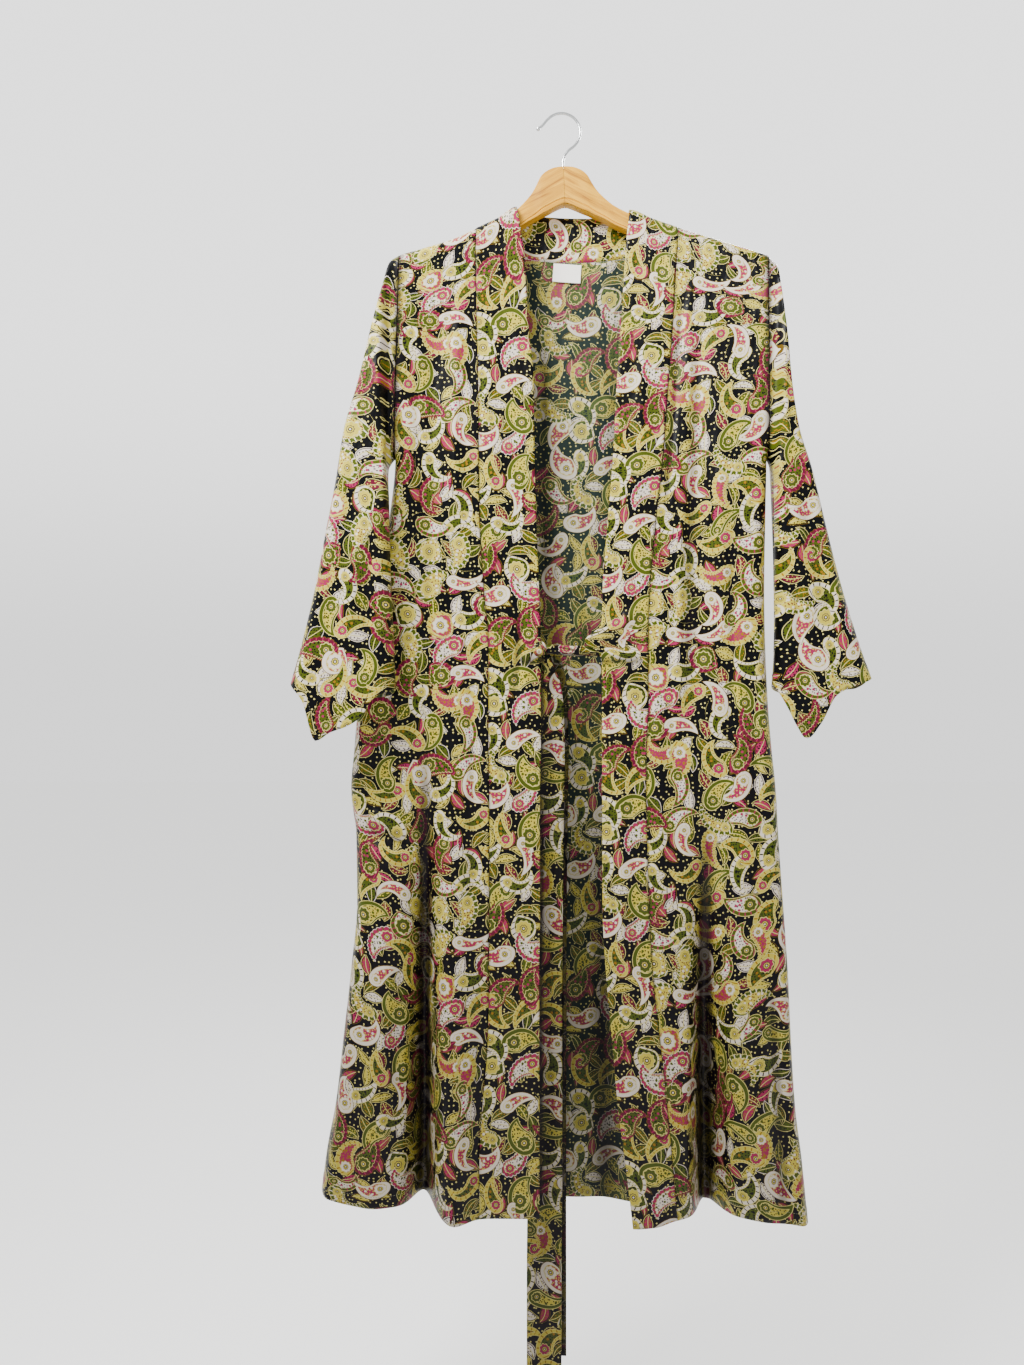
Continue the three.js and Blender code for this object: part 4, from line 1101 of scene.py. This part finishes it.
def sleeve_uv(grid, table):
    """Cloth distances round the sleeve from its outer fold, and along its straight outer line."""
    start = np.array([float(table.at("outerX", 0.1)), float(table.at("outerLevel", 0.1))])
    end = np.array([float(table.at("outerX", 1)), float(table.at("outerLevel", 1))])
    along = (end - start) / np.linalg.norm(end - start)
    beside = np.array([-along[1], along[0]])
    flat = grid[..., [0, 2]] - start
    v, p = flat @ along, flat @ beside
    fold = SLEEVE_HALF - 1
    inwards = np.sign(p[-1, 0] - p[-1, fold])
    hollow = (grid[:, ::-1, 1] - grid[:, :, 1]) / 2
    u = np.zeros_like(p)
    for side in (-1, 1):
        columns = np.arange(fold, fold + side * SLEEVE_HALF, side)
        across = np.diff(p[:, columns], axis=1) * inwards
        deep = np.diff(hollow[:, columns], axis=1) * (np.arange(SLEEVE_HALF - 1) < SLEEVE_HALF / 2)
        steps = np.where(across > 0, np.hypot(across, deep), across)
        u[:, columns[1:]] = side * np.cumsum(steps, axis=1)
    return np.stack([u + p[:, fold:fold + 1], -v], -1)


# --- Belt

BELT_ROWS = 200
# Shade on the belt beside the band's edge: darkness, the X where it is whole and where it is gone
TUCKED = (0.97, -26, -20)
TUCKED_DOWN_TO = (-1275, -1255)  # the shade ends at the gown's hem


def make_belt_end(name, table, satin_face):
    keys = table.columns["level"]
    rows = []
    for t in np.linspace(0, 1, BELT_ROWS):
        level = lerp(keys[0], keys[-1], t ** 1.25)
        value = lambda column: float(table.at(column, level))
        across = np.linspace(-1, 1, 11)
        y = value("y") + across * value("turn") + BELT_CUP * np.cos(across * math.pi)
        x = value("x") + across * value("width") / 2
        rows.append(np.stack([x, y, np.full_like(x, level)], -1))
    grid = np.array(rows)
    dark, covered, free = TUCKED
    tucked = dark * (1 - smooth(grid[..., 0], covered, free)) * smooth(grid[..., 2], *TUCKED_DOWN_TO)
    return shell(name, grid, satin_face, satin_face, thickness=BELT_THICKNESS, seams=tucked)


RUN = Table("x y level", [
    (-20.9, -36, -628.5), (-8, -32, -629), (8, -27, -629.5),
    (24, -24.8, -630), (46, -25.1, -630), (92, -25.4, -629),
])
RUN_WIDTH, RUN_THICKNESS = 12, 4.8
RUN_PLEATS, RUN_PLEAT_DEPTH, RUN_TWIST = 5, 0.2, 0.035
KNOT_AT = (-28.5, -36.8, -628)
KNOT_RADII = (8, 6.8, 9)
KNOT_TURNS = (1.2, 0.4, 2.5)  # how its wraps lie, in radians a radius


def closed_rings(name, rings, uvs, material, hollow):
    """A closed body from rings of points, with a point at each end."""
    count, around = rings.shape[:2]
    points = [*rings.reshape(-1, 3), rings[0].mean(0), rings[-1].mean(0)]
    flat = [*uvs.reshape(-1, 2), uvs[0].mean(0), uvs[-1].mean(0)]
    first, last = count * around, count * around + 1
    faces = []
    for j in range(around):
        k = (j + 1) % around
        for start in range(0, first - around, around):
            after = start + around
            faces.append((start + j, start + k, after + k, after + j))
        faces += [(first, k, j), (last, (count - 1) * around + j, (count - 1) * around + k)]
    hollow = np.array([*hollow.ravel(), 0, 0])
    return make_mesh(name, points, faces, flat, [material], [0] * len(faces), hollow)


def make_run():
    """The belt drawn together into pleats between the knot and the right band."""
    xs = np.linspace(RUN.columns["x"][0], RUN.columns["x"][-1], 90)
    line = np.stack([xs, RUN.at("y", xs), RUN.at("level", xs)], -1)
    turn = np.linspace(0, 2 * math.pi, 60, endpoint=False)
    along = unit(np.gradient(line, axis=0))
    side = unit(np.cross(along, [0, 0, 1]))
    lengths = lengths_along(line)
    rings, uvs, hollow = [], [], []
    for i, point in enumerate(line):
        wave = np.cos(RUN_PLEATS * turn + RUN_TWIST * lengths[i] * RUN_PLEATS)
        pleat = 1 - RUN_PLEAT_DEPTH * (0.5 + 0.5 * wave)
        up = RUN_WIDTH / 2 * np.sin(turn) * pleat
        out = RUN_THICKNESS / 2 * np.cos(turn) * pleat
        rings.append(point + side[i] * out[:, None] + np.array([0, 0, 1]) * up[:, None])
        uvs.append(np.stack([30 + up * 1.4 + out, np.full_like(up, lengths[i])], -1))
        # painted shade between the pleats and on the run's underside
        between = 0.8 * smooth(1 - pleat, 0.08, RUN_PLEAT_DEPTH)
        hollow.append(np.maximum(0.85 * smooth(-up, 1, 4.5), between))
    return closed_rings("belt_gathered", np.array(rings), np.array(uvs), SATIN, np.array(hollow))


def make_knot():
    """The tight knot, wrapped by the belt's turns."""
    turn = np.linspace(0, 2 * math.pi, 56, endpoint=False)
    rings, uvs, hollow = [], [], []
    for tilt in np.linspace(0.04, math.pi - 0.04, 40):
        level = np.full_like(turn, math.cos(tilt))
        ball = np.stack([np.sin(tilt) * np.cos(turn), np.sin(tilt) * np.sin(turn), level], -1)
        groove = np.abs(np.sin(ball @ np.array(KNOT_TURNS)))
        wrap = 1 - 0.13 * np.exp(-((groove / 0.3) ** 2))
        wrap = wrap - 0.03 * np.cos(9 * ball[:, 2] + 4 * ball[:, 0])
        rings.append(ball * KNOT_RADII * wrap[:, None] + KNOT_AT)
        uvs.append(np.stack([ball[:, 0] * 16 + 60, ball[:, 2] * 18 + ball[:, 1] * 6], -1))
        # painted shade in the grooves between the wraps and on the knot's underside
        below = 0.8 * smooth(-ball[:, 2], 0.2, 0.9)
        hollow.append(np.maximum(0.8 * np.exp(-((groove / 0.2) ** 2)), below))
    return closed_rings("belt_tie", np.array(rings), np.array(uvs), SATIN, np.array(hollow))


# --- Label

LABEL = {"width": 33, "height": 22, "x": 6, "top": -170.5, "tilt": 4, "thickness": 0.5}


def make_label():
    across, down = np.meshgrid(np.linspace(-0.5, 0.5, 34), np.linspace(0, 1, 24))
    across, down = across * LABEL["width"], down * LABEL["height"]
    tilt = math.radians(LABEL["tilt"])
    x = LABEL["x"] + across * math.cos(tilt) - down * math.sin(tilt)
    level = LABEL["top"] - across * math.sin(tilt) - down * math.cos(tilt)
    # sewn at its top edge, so its lower corners stand a little off the cloth
    lift = 0.5 + 0.9 * (down / LABEL["height"]) ** 2
    lift = lift + 0.5 * (across / LABEL["width"] * 2) ** 4 * down / LABEL["height"]
    y = layer_at(x, level, 1, BACK_CREASES) - SHELL / 2 - LABEL["thickness"] / 2 - lift
    grid = np.stack([x, y, level], -1)
    uv = np.stack([across, -down], -1)
    return shell("neck_label", grid, LABEL_WEAVE, LABEL_WEAVE, thickness=LABEL["thickness"], uv=uv)


# --- Hanger: two glued arms of one contour, and a wire hook

ARM = Table("reach top bottom thickness", [
    (0, -64, -106, 15), (10, -65, -110, 15), (20, -69, -115, 15), (27, -75, -118, 15),
    (32, -84, -121, 14.5), (38, -94, -124, 14), (46, -103, -128, 14), (55, -111.5, -134, 14),
    (77, -124.5, -145, 14), (100, -133, -155, 14), (130, -147, -168, 14), (162, -160, -180, 14),
    (182, -170, -188, 14), (190, -175, -189, 12), (194, -180, -187, 7),
])
ARM_SWEEP, SWEEP_REACH = 24, 208
ARM_SOFTNESS = 3.4
ARM_STATIONS = [3, 6, 10, 14, 17, 20, 22, 24, 26, 28, 30, 32, 34, 37, 40, 44, 49, 55, 63, 72, 84, 100,
                118, 138, 158, 174, 184, 190, 194]
HANGER_ROLL, HANGER_PIVOT = 2.4, -64
GROOVE = {"share": 0.13, "half": 0.028, "depth": 1.1}


def arm_middle(reach, out):
    y = -ARM_SWEEP * (reach / SWEEP_REACH) ** 2
    return Vector((out * reach, y, float(ARM.at("top", reach) + ARM.at("bottom", reach)) / 2))


def arm_height(reach):
    return float(ARM.at("top", reach) - ARM.at("bottom", reach))


def select_in_edit(mesh, faces=None, edges=None, points=None):
    """Selects what a test accepts, in edit mode."""
    edit = bmesh.from_edit_mesh(mesh)
    for group, test in ((edit.faces, faces), (edit.edges, edges), (edit.verts, points)):
        for element in group:
            element.select_set(False)
    for group, test in ((edit.faces, faces), (edit.edges, edges), (edit.verts, points)):
        if test:
            for element in group:
                if test(element):
                    element.select_set(True)
    bmesh.update_edit_mesh(mesh)


def make_arm(half):
    out = out_of(half)
    start, first = SEAM / 2, ARM_STATIONS[0]
    bpy.ops.object.select_all(action="DESELECT")
    middle = arm_middle((start + first) / 2, out)
    size = (first - start, float(ARM.at("thickness", 0)), arm_height(first))
    bpy.ops.mesh.primitive_cube_add(size=1, location=middle * MM, scale=[v * MM for v in size])
    arm = bpy.context.active_object
    arm.name = f"arm_{half}"
    bpy.ops.object.transform_apply(location=True, rotation=True, scale=True)
    bpy.ops.object.mode_set(mode="EDIT")
    # lines for the moulding groove, low on the front
    low = middle.z - size[2] / 2
    for share in (GROOVE["share"] - GROOVE["half"], GROOVE["share"], GROOVE["share"] + GROOVE["half"]):
        bpy.ops.mesh.select_all(action="SELECT")
        bpy.ops.mesh.bisect(plane_co=(0, 0, (low + share * size[2]) * MM), plane_no=(0, 0, 1))
    bpy.ops.mesh.select_mode(type="FACE")
    select_in_edit(arm.data, faces=lambda f: f.normal.x * out > 0.9)
    for before, reach in zip(ARM_STATIONS, ARM_STATIONS[1:]):
        step = (arm_middle(reach, out) - arm_middle(before, out)) * MM
        bpy.ops.mesh.extrude_region_move(TRANSFORM_OT_translate={"value": step})
        wider = float(ARM.at("thickness", reach) / ARM.at("thickness", before))
        taller = arm_height(reach) / arm_height(before)
        bpy.ops.transform.resize(value=(1, wider, taller), center_override=arm_middle(reach, out) * MM)
    # the long edges are rounded, and then the groove is pressed in
    bpy.ops.mesh.select_mode(type="EDGE")
    select_in_edit(arm.data, edges=lambda e: (
        len(e.link_faces) == 2 and e.calc_face_angle() > 0.8
        and abs(e.verts[0].co.x - e.verts[1].co.x) > 0.3 * MM
    ))
    bpy.ops.mesh.bevel(offset=ARM_SOFTNESS * MM, segments=5, clamp_overlap=True)
    bpy.ops.mesh.select_mode(type="VERT")

    def in_groove(point):
        reach = min(max(abs(point.co.x) / MM, first), ARM_STATIONS[-1])
        base = arm_middle(reach, out)
        level = base.z + arm_height(reach) * (GROOVE["share"] - 0.5)
        near = abs(point.co.z / MM - level) < GROOVE["half"] * arm_height(reach) * 0.5
        return near and point.co.y / MM < base.y - 4

    select_in_edit(arm.data, points=in_groove)
    bpy.ops.transform.translate(value=(0, GROOVE["depth"] * MM, 0))
    bpy.ops.mesh.select_all(action="SELECT")
    bpy.ops.transform.rotate(
        value=math.radians(HANGER_ROLL), orient_axis="Y", center_override=(0, 0, HANGER_PIVOT * MM),
    )
    bpy.ops.mesh.normals_make_consistent(inside=False)
    bpy.ops.object.mode_set(mode="OBJECT")
    bpy.ops.object.shade_smooth_by_angle(angle=math.radians(38))
    arm.data.materials.append(BEECH)
    return arm


WIRE_RADIUS = 1.6
HOOK_CENTRE, HOOK_RADIUS = (-2, -20.4), 22
HOOK_POINTS = [(0, -78), (0, -64), (0, -53), (4.5, -44)]
HOOK_ARC = [(-42, 0), (-15, 0), (12, 0), (40, 0), (66, 0), (90, 0), (115, 0), (140, 0),
            (160, 1.5), (172, 5.5)]
HOOK_BALL = 2.5


def make_hook():
    points = list(HOOK_POINTS)
    for degrees, outwards in HOOK_ARC:
        angle, reach = math.radians(degrees), HOOK_RADIUS + outwards
        x, level = HOOK_CENTRE
        points.append((x + reach * math.cos(angle), level + reach * math.sin(angle)))
    bpy.ops.object.select_all(action="DESELECT")
    bpy.ops.curve.primitive_bezier_curve_add()
    wire = bpy.context.active_object
    curve = wire.data
    curve.dimensions = "3D"
    curve.bevel_depth = WIRE_RADIUS * MM
    curve.bevel_resolution = 5
    curve.use_fill_caps = True
    spline = curve.splines[0]
    spline.resolution_u = 10
    spline.bezier_points.add(len(points) - len(spline.bezier_points))
    for knot, (x, level) in zip(spline.bezier_points, points):
        knot.co = (x * MM, 0, level * MM)
        knot.handle_left_type = knot.handle_right_type = "AUTO"
    bpy.ops.object.convert(target="MESH")
    tip = points[-1]
    bpy.ops.mesh.primitive_uv_sphere_add(
        segments=28, ring_count=16, radius=HOOK_BALL * MM, location=(tip[0] * MM, 0, tip[1] * MM),
    )
    ball = bpy.context.active_object
    wire.select_set(True)
    ball.select_set(True)
    bpy.context.view_layer.objects.active = wire
    bpy.ops.object.join()
    bpy.ops.object.transform_apply(location=True, rotation=True, scale=True)
    wire.name = "wire_hook"
    bpy.ops.object.shade_smooth_by_angle(angle=math.radians(40))
    wire.data.materials.clear()
    wire.data.materials.append(STEEL)
    return wire


pieces = {
    "back": make_back(),
    "neckband_back": make_back_band(),
    "belt_end_front": make_belt_end("belt_strip_front", FRONT_END, BELT_SATIN),
    "belt_end_back": make_belt_end("belt_strip_back", BACK_END, BELT_UNDER),
    "belt_run": make_run(),
    "belt_knot": make_knot(),
    "label": make_label(),
    "hanger_hook": make_hook(),
}
for half in ("left", "right"):
    pieces[f"front_{half}"] = make_front(half)
    pieces[f"neckband_{half}"] = make_band(half)
    pieces[f"sleeve_{half}"] = make_sleeve(half)
    pieces[f"hanger_{half}"] = make_arm(half)

stitches = make_stitches("hem_stitches")
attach(stitches, "root")

for node, piece in pieces.items():
    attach(piece, "root")
    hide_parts(node)


# --- Studio: a pale floor, pale surroundings and two soft lights, before left and behind right

FLOOR_LEVEL = -1620
FLOOR_HALF = 9000
# Brightness before the gown, behind it, and where wall and floor meet
ROOM, WALL, SKIRTING = 1.15, 2.2, 1.47

bpy.ops.mesh.primitive_plane_add(size=2 * FLOOR_HALF * MM, location=(0, 0, FLOOR_LEVEL * MM))
floor = bpy.context.active_object
floor.name = "floor"
floor.data.materials.append(new_material("studio_floor", "#F1F1F0", 0.95, Specular_IOR_Level=0.0)[0])

world = bpy.data.worlds.new("studio")
bpy.context.scene.world = world
world.use_nodes = True
# a bright wall behind the gown, and a dimmer room in front of it
tree = world.node_tree
heading = add(tree, SPLIT, add(tree, "ShaderNodeTexCoord").outputs["Generated"])
rise = {"Value": heading.outputs[2], "From Min": 0.0, "From Max": 0.3,
        "To Min": SKIRTING, "To Max": WALL}
wall = add(tree, "ShaderNodeMapRange", at=rise, interpolation_type="SMOOTHSTEP")
turn = {"Value": heading.outputs[1], "From Min": -0.4, "From Max": 0.5, "To Min": ROOM, "To Max": wall}
behind = add(tree, "ShaderNodeMapRange", at=turn, interpolation_type="SMOOTHSTEP")
tree.links.new(behind.outputs[0], tree.nodes["Background"].inputs["Strength"])
tree.nodes["Background"].inputs["Color"].default_value = (1, 1, 1, 1)


def soft_light(name, at, aim, width, height, watts):
    data = bpy.data.lights.new(name, "AREA")
    data.shape = "RECTANGLE"
    data.size, data.size_y = width * MM, height * MM
    data.energy = watts
    light = bpy.data.objects.new(name, data)
    light.location = Vector(at) * MM
    light.rotation_euler = (Vector(aim) - Vector(at)).to_track_quat("-Z", "Y").to_euler()
    bpy.context.scene.collection.objects.link(light)


soft_light("key", (-700, -700, 460), (0, 0, -260), 600, 450, 48)
soft_light("back", (700, 900, 460), (0, 0, -300), 600, 450, 30)
